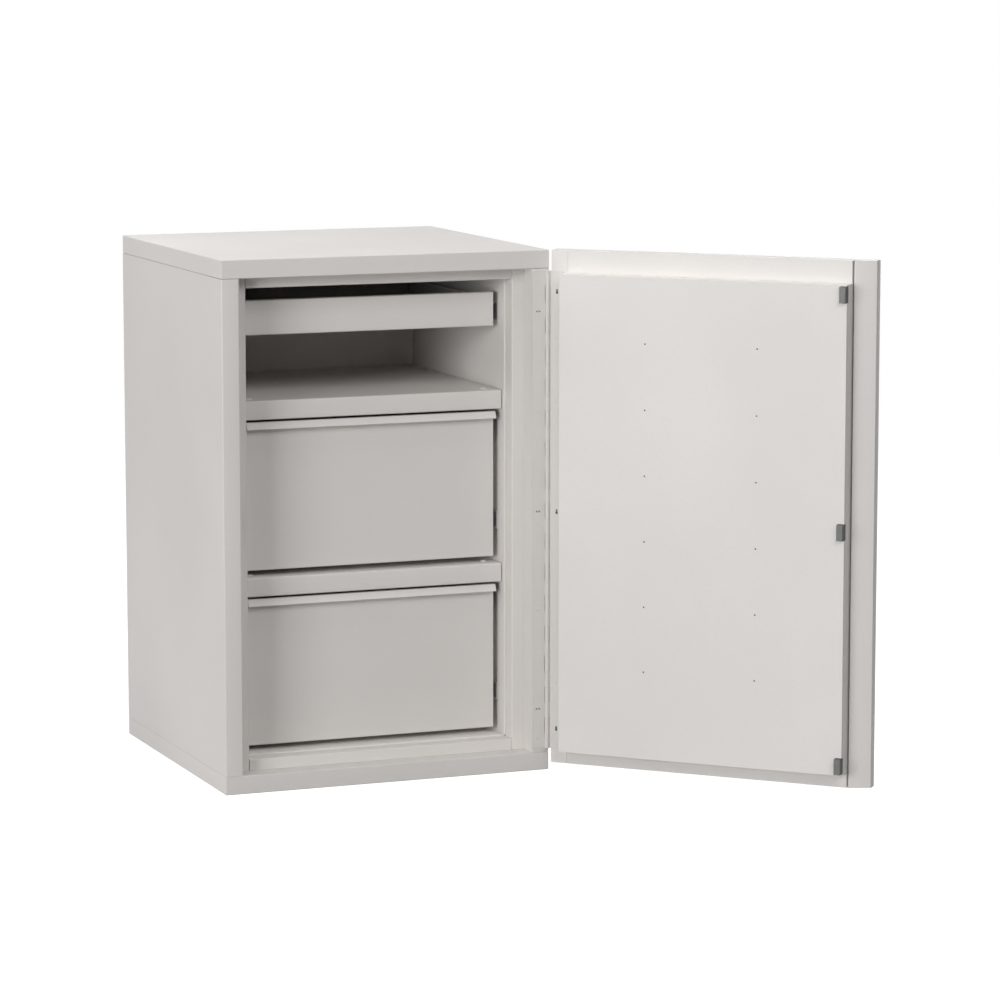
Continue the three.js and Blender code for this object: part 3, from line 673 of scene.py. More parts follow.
def block(*reach: Pair) -> Shape:
    """Makes a block.

    Args:
        reach: Its low and high along x, y and z.

    Returns:
        The block.
    """
    shape = bmesh.new()
    bmesh.ops.create_cube(shape, size=1)
    bmesh.ops.scale(shape, vec=[high - low for low, high in reach], verts=shape.verts)
    bmesh.ops.translate(shape, vec=[middle(span) for span in reach], verts=shape.verts)
    return shape


def turned(
    profile: Sequence[Pair], axis: Axis, centre: Sequence[float] = (0, 0, 0), steps: int = 48
) -> Shape:
    """A lathe-turned solid.

    Args:
        profile: Points (radius, height along the axis), from the axis back to the axis.
        axis: Y or Z, the axis that it is turned about.
        centre: A point on that axis.
        steps: The number of steps round it.

    Returns:
        The closed solid.
    """
    shape = bmesh.new()
    line = [shape.verts.new((radius, 0, height)) for radius, height in profile]
    edges = [shape.edges.new(pair) for pair in zip(line, line[1:])]
    bmesh.ops.spin(
        shape,
        geom=line + edges,
        cent=(0, 0, 0),
        axis=(0, 0, 1),
        angle=2 * math.pi,
        steps=steps,
        use_merge=True,
    )
    bmesh.ops.remove_doubles(shape, verts=shape.verts, dist=WELD_REACH)
    bmesh.ops.recalc_face_normals(shape, faces=shape.faces)
    turn = Matrix.Rotation(math.radians(-90 if axis is Axis.Y else 0), 4, "X")
    move(shape, Matrix.Translation(centre) @ turn)
    return shape


def rod(
    radius: float, reach: Pair, axis: Axis, centre: Sequence[float] = (0, 0, 0), steps: int = 48
) -> Shape:
    """A round bar that reaches from one height along its axis to another."""
    profile = [(0, reach[0]), (radius, reach[0]), (radius, reach[1]), (0, reach[1])]
    return turned(profile, axis, centre, steps)


def merged(shapes: Iterable[Shape]) -> Shape:
    """Puts several shapes in one mesh.

    Args:
        shapes: The shapes, which are used up.

    Returns:
        The mesh.
    """
    whole = bmesh.new()
    for shape in shapes:
        carrier = meshed("carrier", shape)
        whole.from_mesh(carrier)
        bpy.data.meshes.remove(carrier)
    return whole


def copied(shape: Shape, place: Matrix) -> Shape:
    """Copies a shape to a place.

    Args:
        shape: The shape, which stays as it is.
        place: Where the copy goes.

    Returns:
        The copy.
    """
    copy = shape.copy()
    move(copy, place)
    return copy


def combined(shape: Shape, tool: Shape, operation: str = "DIFFERENCE") -> Shape:
    """One closed shape cut by another or joined to it. Both are used up.

    Args:
        shape: The shape that is worked on.
        tool: The other shape.
        operation: The Boolean modifier's operation.

    Returns:
        The result.
    """
    stock = placed("stock", meshed("stock", shape))
    cutter = placed("tool", meshed("tool", tool))
    boolean = stock.modifiers.new("boolean", "BOOLEAN")
    boolean.operation = operation
    boolean.solver = "EXACT"
    boolean.object = cutter
    result = bmesh.new()
    result.from_object(stock, bpy.context.evaluated_depsgraph_get())
    for mesh in (stock.data, cutter.data):
        bpy.data.meshes.remove(mesh)
    return result


class Layout:
    """Places that the sub-assemblies share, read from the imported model, in millimetres."""

    def __init__(self) -> None:
        """Reads the hinge's axis and rise, and the turn of the open door."""
        low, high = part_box("hinge_pin")
        self.axis = Vector((middle((low.x, high.x)), middle((low.y, high.y)), 0)) / MM
        self.hinge_rise = (low.z / MM, high.z / MM)
        self.hinge = Matrix.Translation(self.axis)
        turn = math.radians(180 - self.joint("door_swing")["range_deg"][0])
        self.door = self.hinge @ Matrix.Rotation(turn, 4, "Z")

    def joint(self, name: str) -> dict:
        """A joint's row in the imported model."""
        return next(row for row in frame["joints"] if row["name"] == name)

    def box(self, node: str) -> Box:
        """A node's reach along x, y and z."""
        return tuple((low / MM, high / MM) for low, high in zip(*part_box(node)))

    def door_box(self, node: str) -> Box:
        """A node's reach along x, y and z of the door's own frame.

        Args:
            node: The node's name.

        Returns:
            The lowest and highest place along each axis.
        """
        to_door = self.door.inverted()
        places = [to_door @ (vertex.co / MM) for vertex in frame["nodes"][node].data.vertices]
        return tuple((min(along), max(along)) for along in zip(*places))

    def door_point(self, joint: str) -> Vector:
        """A joint's place in the door's own frame."""
        return self.door.inverted() @ (Vector(self.joint(joint)["pos_m"]) / MM)


@dataclass
class SubAssembly:
    """What every sub-assembly is built with."""

    layout: Layout
    palette: Palette

    def add(
        self, name: str, shape: Shape, body: Body, slot: Slot, **options: object
    ) -> bpy.types.Object:
        """Makes one piece, with the options that a piece has."""
        return Piece(name, shape, body, slot, **options).make(self.palette)


@dataclass
class SheetWork(SubAssembly):
    """What the classes of sheet-metal parts share: folding, and mirroring an outline."""

    sheet: float = 1.5
    bend: float = 1.2

    def fold(self, name: str, outline: Sequence[Pair], axis: Axis, gap: float = 0) -> Shape:
        """Folds a sheet that is as long as its node.

        Args:
            name: The node.
            outline: The outline that it is bent along.
            axis: The axis that it is long on.
            gap: How much shorter it is at each end.

        Returns:
            The sheet.
        """
        span = inset(self.layout.box(name)[axis.value], gap)
        return FoldedSheet(tuple(outline), self.sheet, self.bend, axis, span).build()

    def put(self, name: str, shape: Shape, body: Body, slot: Slot, kind: str = "sheet") -> None:
        """Lets a shape stand for its node."""
        self.add(f"{name}_{kind}", shape, body, slot, replaces=(name,), edge_radius=0.25)

    def mirrored(self, outline: Sequence[Pair]) -> list[Pair]:
        """An outline on the other side of the cabinet, with the sheet still on its left."""
        return [(-a, b) for a, b in reversed(outline)]

    def flipped(self, outline: Sequence[Pair], height: float) -> list[Pair]:
        """An outline turned over about a height, with the sheet still on its left."""
        return [(a, 2 * height - b) for a, b in reversed(outline)]


@dataclass
class Shell(SheetWork):
    """The cabinet's skin and front frame: folded panels, two pans, and the stepped frame."""

    bend: float = 1.4
    panel_return: float = 39.7
    cap_edge: float = 1.8
    cap_shelf: float = 41.5
    keeper_play: float = 2
    bolts: tuple[str, ...] = ("top_bolt", "middle_bolt", "bottom_bolt")

    def make(self) -> None:
        """Makes the panels, the caps, the frame and the liner."""
        self.make_panels()
        self.make_cap("base_cap", 1)
        self.make_cap("top_cap", -1)
        stiles, rails = ("left_jamb", "right_jamb"), ("sill_rail", "head_rail")
        self.make_angles(Slot.BODY_PAINT, stiles, rails)
        stiles, rails = ("liner_left", "liner_right"), ("liner_floor", "liner_ceiling")
        self.make_angles(Slot.INTERIOR_PAINT, stiles, rails)

    def make_panels(self) -> None:
        """Folds the side panels round the front stiles, and cuts the left one's keeper slots."""
        x, y, _ = self.layout.box("left_panel")
        outline = [(x[0], y[1]), (x[0], y[0]), (x[1], y[0]), (x[1], y[0] + self.panel_return)]
        left = self.fold("left_panel", outline, Axis.Z)
        through = (x[1] - 2 * self.sheet, x[1] + self.sheet)
        for bolt in self.bolts:
            _, depth, _ = self.layout.door_box(bolt)
            _, _, rise = self.layout.box(bolt)
            shut = (self.layout.axis.y - depth[1], self.layout.axis.y - depth[0])
            keeper = (inset(span, -self.keeper_play) for span in (shut, rise))
            left = combined(left, block(through, *keeper))
        right = self.fold("right_panel", self.mirrored(outline), Axis.Z)
        self.put("left_panel", left, Body.CABINET, Slot.BODY_PAINT)
        self.put("right_panel", right, Body.CABINET, Slot.BODY_PAINT)

    def make_cap(self, name: str, inwards: int) -> None:
        """A pan with eased edges and a return that closes the frame's reveal.

        Args:
            name: The cap's node.
            inwards: 1 where the pan opens upwards, -1 where it opens downwards.
        """
        x, y, z = self.layout.box(name)
        wall = self.sheet
        width, split = inset(x, wall), y[0] + self.cap_shelf
        open_part = (z[0] + inwards * wall, z[1] + inwards * wall)
        pan = block(width, (split, y[1] - wall), open_part)
        lip = block(width, (y[0] + wall, split + wall), inset(z, wall))
        cap = block(x, y, z)
        ease(cap, cap.edges[:], self.cap_edge, segments=3)
        cap = combined(cap, combined(pan, lip, "UNION"))
        options = {"replaces": (name,), "has_flats": True}
        self.add(f"{name}_pan", cap, Body.CABINET, Slot.BODY_PAINT, **options)

    def make_angles(self, slot: Slot, sides: Sequence[str], levels: Sequence[str]) -> None:
        """Folds the four angles of a frame.

        Args:
            slot: Their paint.
            sides: The nodes of the left and the right one.
            levels: The nodes of the low and the high one.
        """
        x, y, _ = self.layout.box(sides[0])
        outline = [(x[0], y[0]), (x[1], y[0]), (x[1], y[1])]
        for name, line in zip(sides, (outline, self.mirrored(outline))):
            self.put(name, self.fold(name, line, Axis.Z), Body.CABINET, slot)
        _, y, z = self.layout.box(levels[0])
        outline = [(y[1], z[1]), (y[0], z[1]), (y[0], z[0])]
        centre = middle((z[0], self.layout.box(levels[1])[Axis.Z.value][1]))
        for name, line in zip(levels, (outline, self.flipped(outline, centre))):
            self.put(name, self.fold(name, line, Axis.X), Body.CABINET, slot)


@dataclass
class Shelves(SheetWork):
    """The two fixed shelves: pans a little shorter than the bay, held down by low rivets."""

    lip: float = 20
    front_return: float = 15
    end_gap: float = 1.4
    rivet_place: Pair = (236, -199.6)
    rivet: Profile = ((0, -1), (5, -1), (5.8, 0), (5.8, 1.2), (4.8, 2.1), (2.6, 2.7), (0, 2.9))

    def make(self) -> None:
        """Folds both shelves and sets their rivets."""
        rivets = []
        for name in ("upper_shelf", "lower_shelf"):
            x, y, z = self.layout.box(name)
            foot, wall = z[1] - self.lip, self.sheet
            outline = [(y[1], foot), (y[1], z[1]), (y[0], z[1]), (y[0], z[0])]
            outline.append((y[0] + self.front_return, z[0]))
            parts = [self.fold(name, outline, Axis.X, self.end_gap)]
            depth, height = inset(y, 2 * wall), (foot, z[1] - wall)
            for start in (x[0] + self.end_gap, x[1] - self.end_gap - wall):
                parts.append(block((start, start + wall), depth, height))
            self.put(name, merged(parts), Body.CABINET, Slot.INTERIOR_PAINT)
            for side in (-1, 1):
                centre = (side * self.rivet_place[0], self.rivet_place[1], z[1])
                rivets.append(turned(self.rivet, Axis.Z, centre, steps=24))
        self.add("shelf_rivets", merged(rivets), Body.CABINET, Slot.INTERIOR_PAINT)


@dataclass
class Tubs(SheetWork):
    """The pressed tubs behind the fronts, with their rims turned in."""

    sheet: float = 1.2
    corner: float = 2.4
    drawer_rim: float = 14
    tray_rim: float = 7
    lip: float = 5

    def make(self) -> None:
        """Presses the three tubs."""
        for body in (Body.UPPER_DRAWER, Body.LOWER_DRAWER, Body.TRAY):
            name = f"{body.value}_tub"
            rim = self.tray_rim if body is Body.TRAY else self.drawer_rim
            self.put(name, self.pressed(name, rim), body, Slot.INTERIOR_PAINT, "pressing")

    def pressed(self, name: str, rim: float) -> Shape:
        """A box with round corners whose top edge turns in and down.

        Args:
            name: The tub's node.
            rim: How far the edge turns in.

        Returns:
            The tub's sheet.
        """
        x, y, z = self.layout.box(name)
        tub = block(x, y, z)
        lid = max(tub.faces, key=lambda face: face.calc_center_median().z)
        bmesh.ops.delete(tub, geom=[lid], context="FACES_ONLY")
        corners = [edge for edge in tub.edges if not edge.is_boundary]
        ease(tub, corners, self.corner, segments=4)
        centre = Matrix.Translation((-middle(x), -middle(y), 0))
        shrink = (1 - 2 * rim / (x[1] - x[0]), 1 - 2 * rim / (y[1] - y[0]), 1)
        bmesh.ops.scale(tub, verts=self.drawn(tub), vec=shrink, space=centre)
        bmesh.ops.translate(tub, verts=self.drawn(tub), vec=(0, 0, -self.lip))
        bmesh.ops.recalc_face_normals(tub, faces=tub.faces)
        bmesh.ops.solidify(tub, geom=tub.faces[:], thickness=self.sheet)
        return tub

    def drawn(self, tub: Shape) -> list[Vert]:
        """Draws out the open edge and returns its new vertices."""
        rim = [edge for edge in tub.edges if edge.is_boundary]
        return drawn_verts(bmesh.ops.extrude_edge_only(tub, edges=rim))


@dataclass
class Slides(SheetWork):
    """The rolled members of the telescopic slides, with the ends of their flanges cut back."""

    sheet: float = 1.2
    bend: float = 0.8
    cut_back: float = 12
    cut_start: float = 1.6

    def make(self) -> None:
        """Makes each channel, middle bar and rail on both sides."""
        for body, runner in (
            (Body.UPPER_DRAWER, Body.UPPER_SLIDES),
            (Body.LOWER_DRAWER, Body.LOWER_SLIDES),
            (Body.TRAY, None),
        ):
            for side, sign in (("left", -1), ("right", 1)):
                self.member(f"{body.value}_channel_{side}", Body.CABINET, sign)
                self.member(f"{body.value}_rail_{side}", body, -sign)
                if runner:
                    self.member(f"{body.value}_slide_{side}", runner, sign)

    def member(self, name: str, body: Body, web_side: int) -> None:
        """Rolls one member.

        Args:
            name: Its node.
            body: Its body.
            web_side: 1 where its web is at the high end of x, -1 where it is at the low end.
        """
        x, y, z = self.layout.box(name)
        web, tip = (x[1], x[0]) if web_side > 0 else (x[0], x[1])
        outline = [(tip, z[0]), (web, z[0]), (web, z[1]), (tip, z[1])][::web_side]
        shape = self.fold(name, outline, Axis.Y)
        corner = Vector((web - web_side * self.cut_start, y[0], 0))
        along = Vector((tip, y[0] + self.cut_back, 0)) - corner
        bmesh.ops.bisect_plane(
            shape,
            geom=shape.verts[:] + shape.edges[:] + shape.faces[:],
            plane_co=corner,
            plane_no=Vector((along.y, -along.x, 0)).normalized() * -web_side,
            clear_outer=True,
        )
        bmesh.ops.holes_fill(shape, edges=[edge for edge in shape.edges if edge.is_boundary])
        bmesh.ops.recalc_face_normals(shape, faces=shape.faces)
        options = {"replaces": (name,), "has_flats": True}
        self.add(f"{name}_section", shape, body, Slot.ZINC_STEEL, **options)


@dataclass
class DrawerFronts(SheetWork):
    """The folded fronts of the filing drawers and of the tray."""

    bend: float = 1.0
    front_return: float = 15
    lip_reach: float = 11
    lip_slant: float = 6
    lip_drop: float = 13

    def make(self) -> None:
        """Makes the three fronts."""
        for body in (Body.UPPER_DRAWER, Body.LOWER_DRAWER, Body.TRAY):
            name = f"{body.value}_front"
            _, y, z = self.layout.box(name)
            outline = self.tray_outline(y, z) if body is Body.TRAY else self.filing_outline(y, z)
            self.put(name, self.fold(name, outline, Axis.X), body, Slot.DRAWER_PAINT)

    def filing_outline(self, y: Pair, z: Pair) -> Profile:
        """A front with a slanted pull along its top.

        Args:
            y: Its node's reach along y.
            z: Its node's reach along z.

        Returns:
            The outline, from the foot's return to the pull's lip.
        """
        pull, foot = y[0] + self.lip_slant, z[0] + self.sheet
        face = pull + self.lip_reach
        back = face + self.sheet
        top = ((back, z[1]), (pull, z[1]), (y[0], z[1] - self.lip_drop))
        return (face + self.front_return, foot), (back, foot), *top

    def tray_outline(self, y: Pair, z: Pair) -> Profile:
        """A plain front turned back along its top and foot."""
        return (y[1], z[1]), (y[0], z[1]), (y[0], z[0]), (y[1], z[0])


@dataclass
class DoorSkin(SheetWork):
    """The door's outer sheet, folded in one piece from the slit round to the hinge stile."""

    bend: float = 0.6
    slit_width: float = 3
    slit_lap: float = 20
    slit_depth: float = 15.7
    bevel_depth: float = 16.3
    hinge_stile: float = 32
    hinge_draw: float = 1.4

    def make(self) -> None:
        """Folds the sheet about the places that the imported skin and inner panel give."""
        name = "door_skin"
        (hinge_x, free_x), (inner_y, outer_y), _ = self.layout.door_box(name)
        slit_x = self.layout.door_box("door_plug")[Axis.X.value][1] + self.slit_width
        floor_y = inner_y + self.slit_depth
        edge_x = hinge_x - self.hinge_draw
        outline = (
            (slit_x - self.slit_lap, floor_y),
            (slit_x, floor_y),
            (slit_x, inner_y),
            (free_x, inner_y + self.bevel_depth),
            (free_x, outer_y),
            (edge_x, outer_y),
            (edge_x, inner_y),
            (hinge_x + self.hinge_stile, inner_y),
        )
        options = {"replaces": (name,), "place": self.layout.door, "edge_radius": 0.25}
        sheet = self.fold(name, outline, Axis.Z)
        self.add("door_outer_sheet", sheet, Body.DOOR, Slot.DOOR_PAINT, **options)


@dataclass
class LockFittings(SubAssembly):
    """What shows of the lock on the door's outer face: plate, lever, key cylinder and screws."""

    plate_node: str = "lock_escutcheon"
    corner: float = 8
    plate_edge: float = 1.1
    boss_hole: float = 8.6
    cylinder_hole: float = 11
    drill: Pair = (-9, 9)
    cylinder_radius: float = 10.7
    core_radius: float = 7
    core_edge: float = 0.4
    play: float = 0.3
    chamfer: float = 0.8
    keyway: Triple = (1.8, 8.5, 4)
    screw: Profile = ((0, -1.2), (1.705, -1.2), (3.1, 0), (3.1, 0.25), (2.232, 0.8), (0, 1.05))
    screw_slit: Box = ((-3.72, 3.72), (0.35, 2), (-0.45, 0.45))
    screw_inset: float = 8.5
    screw_turns: Pair = (20, 65)
    hub_radius: float = 13.6
    hub_sides: int = 8
    hub_edge: Pair = (0.4, 0.97)
    smoothing: int = 3
    arm_thickness: float = 11
    neck: Pair = (3, 0.9)
    boss_share: float = 0.66
    face_inset: float = 2.2
    arm_stations: tuple[Triple, ...] = (
        (14, 10.2, 5.4),
        (28, 10.6, 5.2),
        (34, 10.2, 4.9),
        (10, 9.2, 4.7),
        (5.5, 6.2, 3.8),
    )

    def __post_init__(self) -> None:
        """Reads where the lever and the key turn."""
        self.spindle = self.layout.door_point("handle_turn")
        self.key = self.layout.door_point("key_turn")

    def make(self) -> None:
        """Makes every fitting."""
        self.make_plate()
        self.make_screws()
        self.make_lever()
        self.make_cylinder()
        self.make_core()

    def fit(
        self, name: str, shape: Shape, body: Body = Body.DOOR, **options: object
    ) -> bpy.types.Object:
        """Makes one chromed fitting on the door."""
        place = self.layout.door
        return self.add(name, shape, body, Slot.LOCK_CHROME, place=place, **options)

    def make_plate(self) -> None:
        """A rounded plate with an eased rim, a hole for the boss and one for the cylinder."""
        x, y, z = self.layout.door_box(self.plate_node)
        plate = bmesh.new()
        bmesh.ops.create_grid(plate, x_segments=1, y_segments=1, size=0.5)
        bmesh.ops.scale(plate, vec=(x[1] - x[0], z[1] - z[0], 1), verts=plate.verts)
        ease(plate, plate.verts[:], self.corner, segments=8, affect="VERTICES")
        raised = bmesh.ops.extrude_face_region(plate, geom=plate.faces[:], use_keep_orig=True)
        top = drawn_verts(raised)
        bmesh.ops.translate(plate, verts=top, vec=(0, 0, y[0] - y[1]))
        bmesh.ops.recalc_face_normals(plate, faces=plate.faces)
        rim = [edge for edge in plate.edges if all(vert in top for vert in edge.verts)]
        ease(plate, rim, self.plate_edge, segments=3)
        move(plate, Matrix.Translation((middle(x), y[0], middle(z))) @ upright(Axis.Y))
        for centre, radius in ((self.spindle, self.boss_hole), (self.key, self.cylinder_hole)):
            drill = rod(radius, self.drill, Axis.Y, (centre.x, y[0], centre.z))
            plate = combined(plate, drill)
        self.fit("lock_plate", plate, replaces=(self.plate_node,))

    def make_screws(self) -> None:
        """The plate's two slotted screws, each at its own turn."""
        x, y, z = self.layout.door_box(self.plate_node)
        head = combined(turned(self.screw, Axis.Y, steps=28), block(*self.screw_slit))
        heads = []
        for height, degrees in zip(inset(z, self.screw_inset), self.screw_turns):
            turn = Matrix.Rotation(math.radians(degrees), 4, "Y")
            heads.append(copied(head, Matrix.Translation((middle(x), y[1], height)) @ turn))
        head.free()
        self.fit("lock_plate_screws", merged(heads))

    def make_lever(self) -> None:
        """A cast lever: a round hub that runs into a flattened, tapering arm."""
        name = "lever_handle"
        _, (y_low, y_high), _ = self.layout.door_box(name)
        arm = y_high - self.arm_thickness
        foot = self.layout.door_box(self.plate_node)[Axis.Y.value][1] + self.play
        lever = bmesh.new()
        bmesh.ops.create_cone(
            lever,
            cap_ends=True,
            cap_tris=False,
            segments=self.hub_sides,
            radius1=self.hub_radius,
            radius2=self.hub_radius,
            depth=self.arm_thickness,
        )
        move(lever, Matrix.Rotation(math.pi / self.hub_sides, 4, "Z"))
        inner = max(lever.faces, key=lambda face: face.calc_center_median().z)
        rise, edge = self.neck[0], self.hub_edge
        hub = self.neck, (arm - foot - rise - edge[0], 1), edge
        boss = (0, self.boss_share), (foot - y_low - edge[0], 1), edge
        for reach, share in hub + boss:
            inner = self.drawn_out(lever, inner, Vector((0, 0, reach)), (share, share, 1))
        outer = min(lever.faces, key=lambda face: face.calc_center_median().z)
        bmesh.ops.inset_region(lever, faces=[outer], thickness=self.face_inset, depth=0)
        tip = min(lever.faces, key=lambda face: face.calc_center_median().y)
        for reach, width, thickness in self.arm_stations:
            tip = self.drawn_out(lever, tip, Vector((0, -reach, 0)), (1, 1, 1))
            self.resize(lever, tip, width, thickness)
        bmesh.ops.recalc_face_normals(lever, faces=lever.faces)
        centre = (self.spindle.x, middle((arm, y_high)), self.spindle.z)
        move(lever, Matrix.Translation(centre) @ upright(Axis.Y))
        piece = self.fit("lever", lever, Body.HANDLE, replaces=(name,), sharp_limit=180)
        smooth = piece.modifiers.new("cast_form", "SUBSURF")
        smooth.levels = smooth.render_levels = self.smoothing

    def drawn_out(self, shape: Shape, face: Face, reach: Vector, size: Sequence[float]) -> Face:
        """Extrudes a face.

        Args:
            shape: The shape that holds the face.
            face: The face.
            reach: How far it moves.
            size: Its scale about its own centre.

        Returns:
            The moved face.
        """
        drawn = bmesh.ops.extrude_face_region(shape, geom=[face])
        moved = next(item for item in drawn["geom"] if isinstance(item, Face))
        if face.is_valid:
            bmesh.ops.delete(shape, geom=[face], context="FACES_ONLY")
        bmesh.ops.translate(shape, verts=moved.verts[:], vec=reach)
        centre = Matrix.Translation(-moved.calc_center_median())
        bmesh.ops.scale(shape, verts=moved.verts[:], vec=size, space=centre)
        return moved

    def resize(self, shape: Shape, face: Face, width: float, thickness: float) -> None:
        """Sizes a face of the arm about its own centre.

        Args:
            shape: The shape that holds the face.
            face: The face.
            width: Half its new width.
            thickness: Half its new thickness.
        """
        centre = face.calc_center_median()
        wide = max(abs(vert.co.x - centre.x) for vert in face.verts)
        deep = max(abs(vert.co.z - centre.z) for vert in face.verts)
        size = (width / wide, 1, thickness / deep)
        bmesh.ops.scale(shape, verts=face.verts[:], vec=size, space=Matrix.Translation(-centre))

    def make_cylinder(self) -> None:
        """The key cylinder's ring, with both its rims eased."""
        name = "lock_cylinder"
        _, (low, high), _ = self.layout.door_box(name)
        outer, inner, edge = self.cylinder_radius, self.core_radius + self.play, self.chamfer
        profile = [(inner, low), (outer, low), (outer, high - edge), (outer - edge, high)]
        profile += [(inner + edge / 2, high), (inner, high - edge / 2), (inner, low)]
        ring = turned(profile, Axis.Y, (self.key.x, 0, self.key.z), steps=64)
        self.fit("key_cylinder", ring, replaces=(name,))

    def make_core(self) -> None:
        """The core that turns in the cylinder, with its keyway and ward."""
        name = "lock_core"
        _, (low, high), _ = self.layout.door_box(name)
        radius, edge, (x, _, z) = self.core_radius, self.core_edge, self.key
        profile = [(0, low), (radius, low), (radius, high - edge), (radius - edge, high), (0, high)]
        core = turned(profile, Axis.Y, (x, 0, z))
        width, height, depth = self.keyway
        cut, ward = (high - depth, high + OVERCUT), z - height / 4
        core = combined(core, block(about(x, width / 2), cut, about(z, height / 2)))
        core = combined(core, block((x, x + width), cut, (ward, ward + width / 2)))
        self.fit("key_core", core, Body.KEY, replaces=(name,))


@dataclass(frozen=True)
class HingeRow:
    """The fixings of one hinge leaf. Insets are heights from either of its ends."""

    leaf: str
    body: Body
    paint: Slot
    bare: Slot
    place: Matrix
    x: float
    round_insets: tuple[float, ...]
    long_inset: float
    long_axis: Axis
    slide: float = 0

    def rounds(self, low: float, high: float) -> list[float]:
        """The heights of the round holes between the leaf's ends."""
        return [z for inset in self.round_insets for z in (low + inset, high - inset)]

    def longs(self, low: float, high: float) -> list[float]:
        """The heights of the long holes between the leaf's ends."""
        return [low + self.long_inset, middle((low, high)), high - self.long_inset]


def hinge_rows(layout: Layout) -> dict[Body, HingeRow]:
    """Lays out the hinge's fixings.

    Args:
        layout: The places that it hangs from.

    Returns:
        Each leaf's row, by the leaf's body.
    """
    on_frame = HingeRow(
        leaf="frame_leaf",
        body=Body.CABINET,
        paint=Slot.BODY_PAINT,
        bare=Slot.ZINC_STEEL,
        place=layout.hinge,
        x=-HINGE_SETBACK,
        round_insets=(19, 268),
        long_inset=77,
        long_axis=Axis.X,
    )
    on_door = HingeRow(
        leaf="door_leaf",
        body=Body.DOOR,
        paint=Slot.DOOR_PAINT,
        bare=Slot.BOLT_STEEL,
        place=layout.door,
        x=HINGE_SETBACK,
        round_insets=(127, 249),
        long_inset=39,
        long_axis=Axis.Z,
        slide=-2.4,
    )
    return {row.body: row for row in (on_frame, on_door)}


@dataclass
class DoorLeaf(SheetWork):
    """The hinge's leaf on the door: a drilled plate whose knuckles close up to the other leaf's."""

    knuckles: int = 31
    barrel: float = 4
    bore: float = 2.6
    gap: float = 0.15
    plate_start: float = 3.35
    hole: float = 2
    hole_reach: Pair = (1, 6)
    stretch: float = 2.5
    seam: float = 0.01
    edge: float = 0.15

    def make(self) -> None:
        """Makes the leaf."""
        name = "hinge_door_leaf"
        low, high = self.layout.hinge_rise
        (_, width), _, _ = self.layout.door_box(name)
        thickness = (self.barrel - self.sheet, self.barrel)
        leaf = block((self.plate_start, width), thickness, (low, high))
        pitch = (high - low) / self.knuckles
        knuckle = self.knuckle(pitch / 2 - self.gap)
        rolled = [
            copied(knuckle, Matrix.Translation((0, 0, low + (index + 0.5) * pitch)))
            for index in range(1, self.knuckles, 2)
        ]
        knuckle.free()
        leaf = combined(combined(leaf, merged(rolled), "UNION"), merged(self.drills()))
        options = {"replaces": (name,), "place": self.layout.door, "edge_radius": self.edge}
        self.add("door_leaf_plate", leaf, Body.DOOR, Slot.BODY_PAINT, **options)

    def knuckle(self, half: float) -> Shape:
        """One bored knuckle about the origin, with the bridge to the plate.

        Args:
            half: Half its height.

        Returns:
            The knuckle.
        """
        barrel = rod(self.barrel, about(0, half), Axis.Z)
        thickness = (self.barrel - self.sheet, self.barrel)
        bridge = block((0, self.plate_start + OVERCUT), thickness, about(0, half))
        bore = rod(self.bore, about(0, half + OVERCUT), Axis.Z, steps=32)
        return combined(combined(barrel, bridge, "UNION"), bore)

    def drills(self) -> list[Shape]:
        """Makes the cutters of the holes.

        Returns:
            A cutter for each round hole, and a stretched one for each long hole.
        """
        row, rise = hinge_rows(self.layout)[Body.DOOR], self.layout.hinge_rise
        cutters = []
        for places, stretch in ((row.rounds(*rise), 0), (row.longs(*rise), self.stretch)):
            for z in places:
                drill = rod(self.hole, self.hole_reach, Axis.Y, steps=24)
                for side in (-1, 1):
                    half = [vert for vert in drill.verts if vert.co.z * side > self.seam]
                    bmesh.ops.translate(drill, verts=half, vec=(0, 0, side * stretch))
                bmesh.ops.translate(drill, verts=drill.verts, vec=(row.x, 0, z))
                cutters.append(drill)
        return cutters


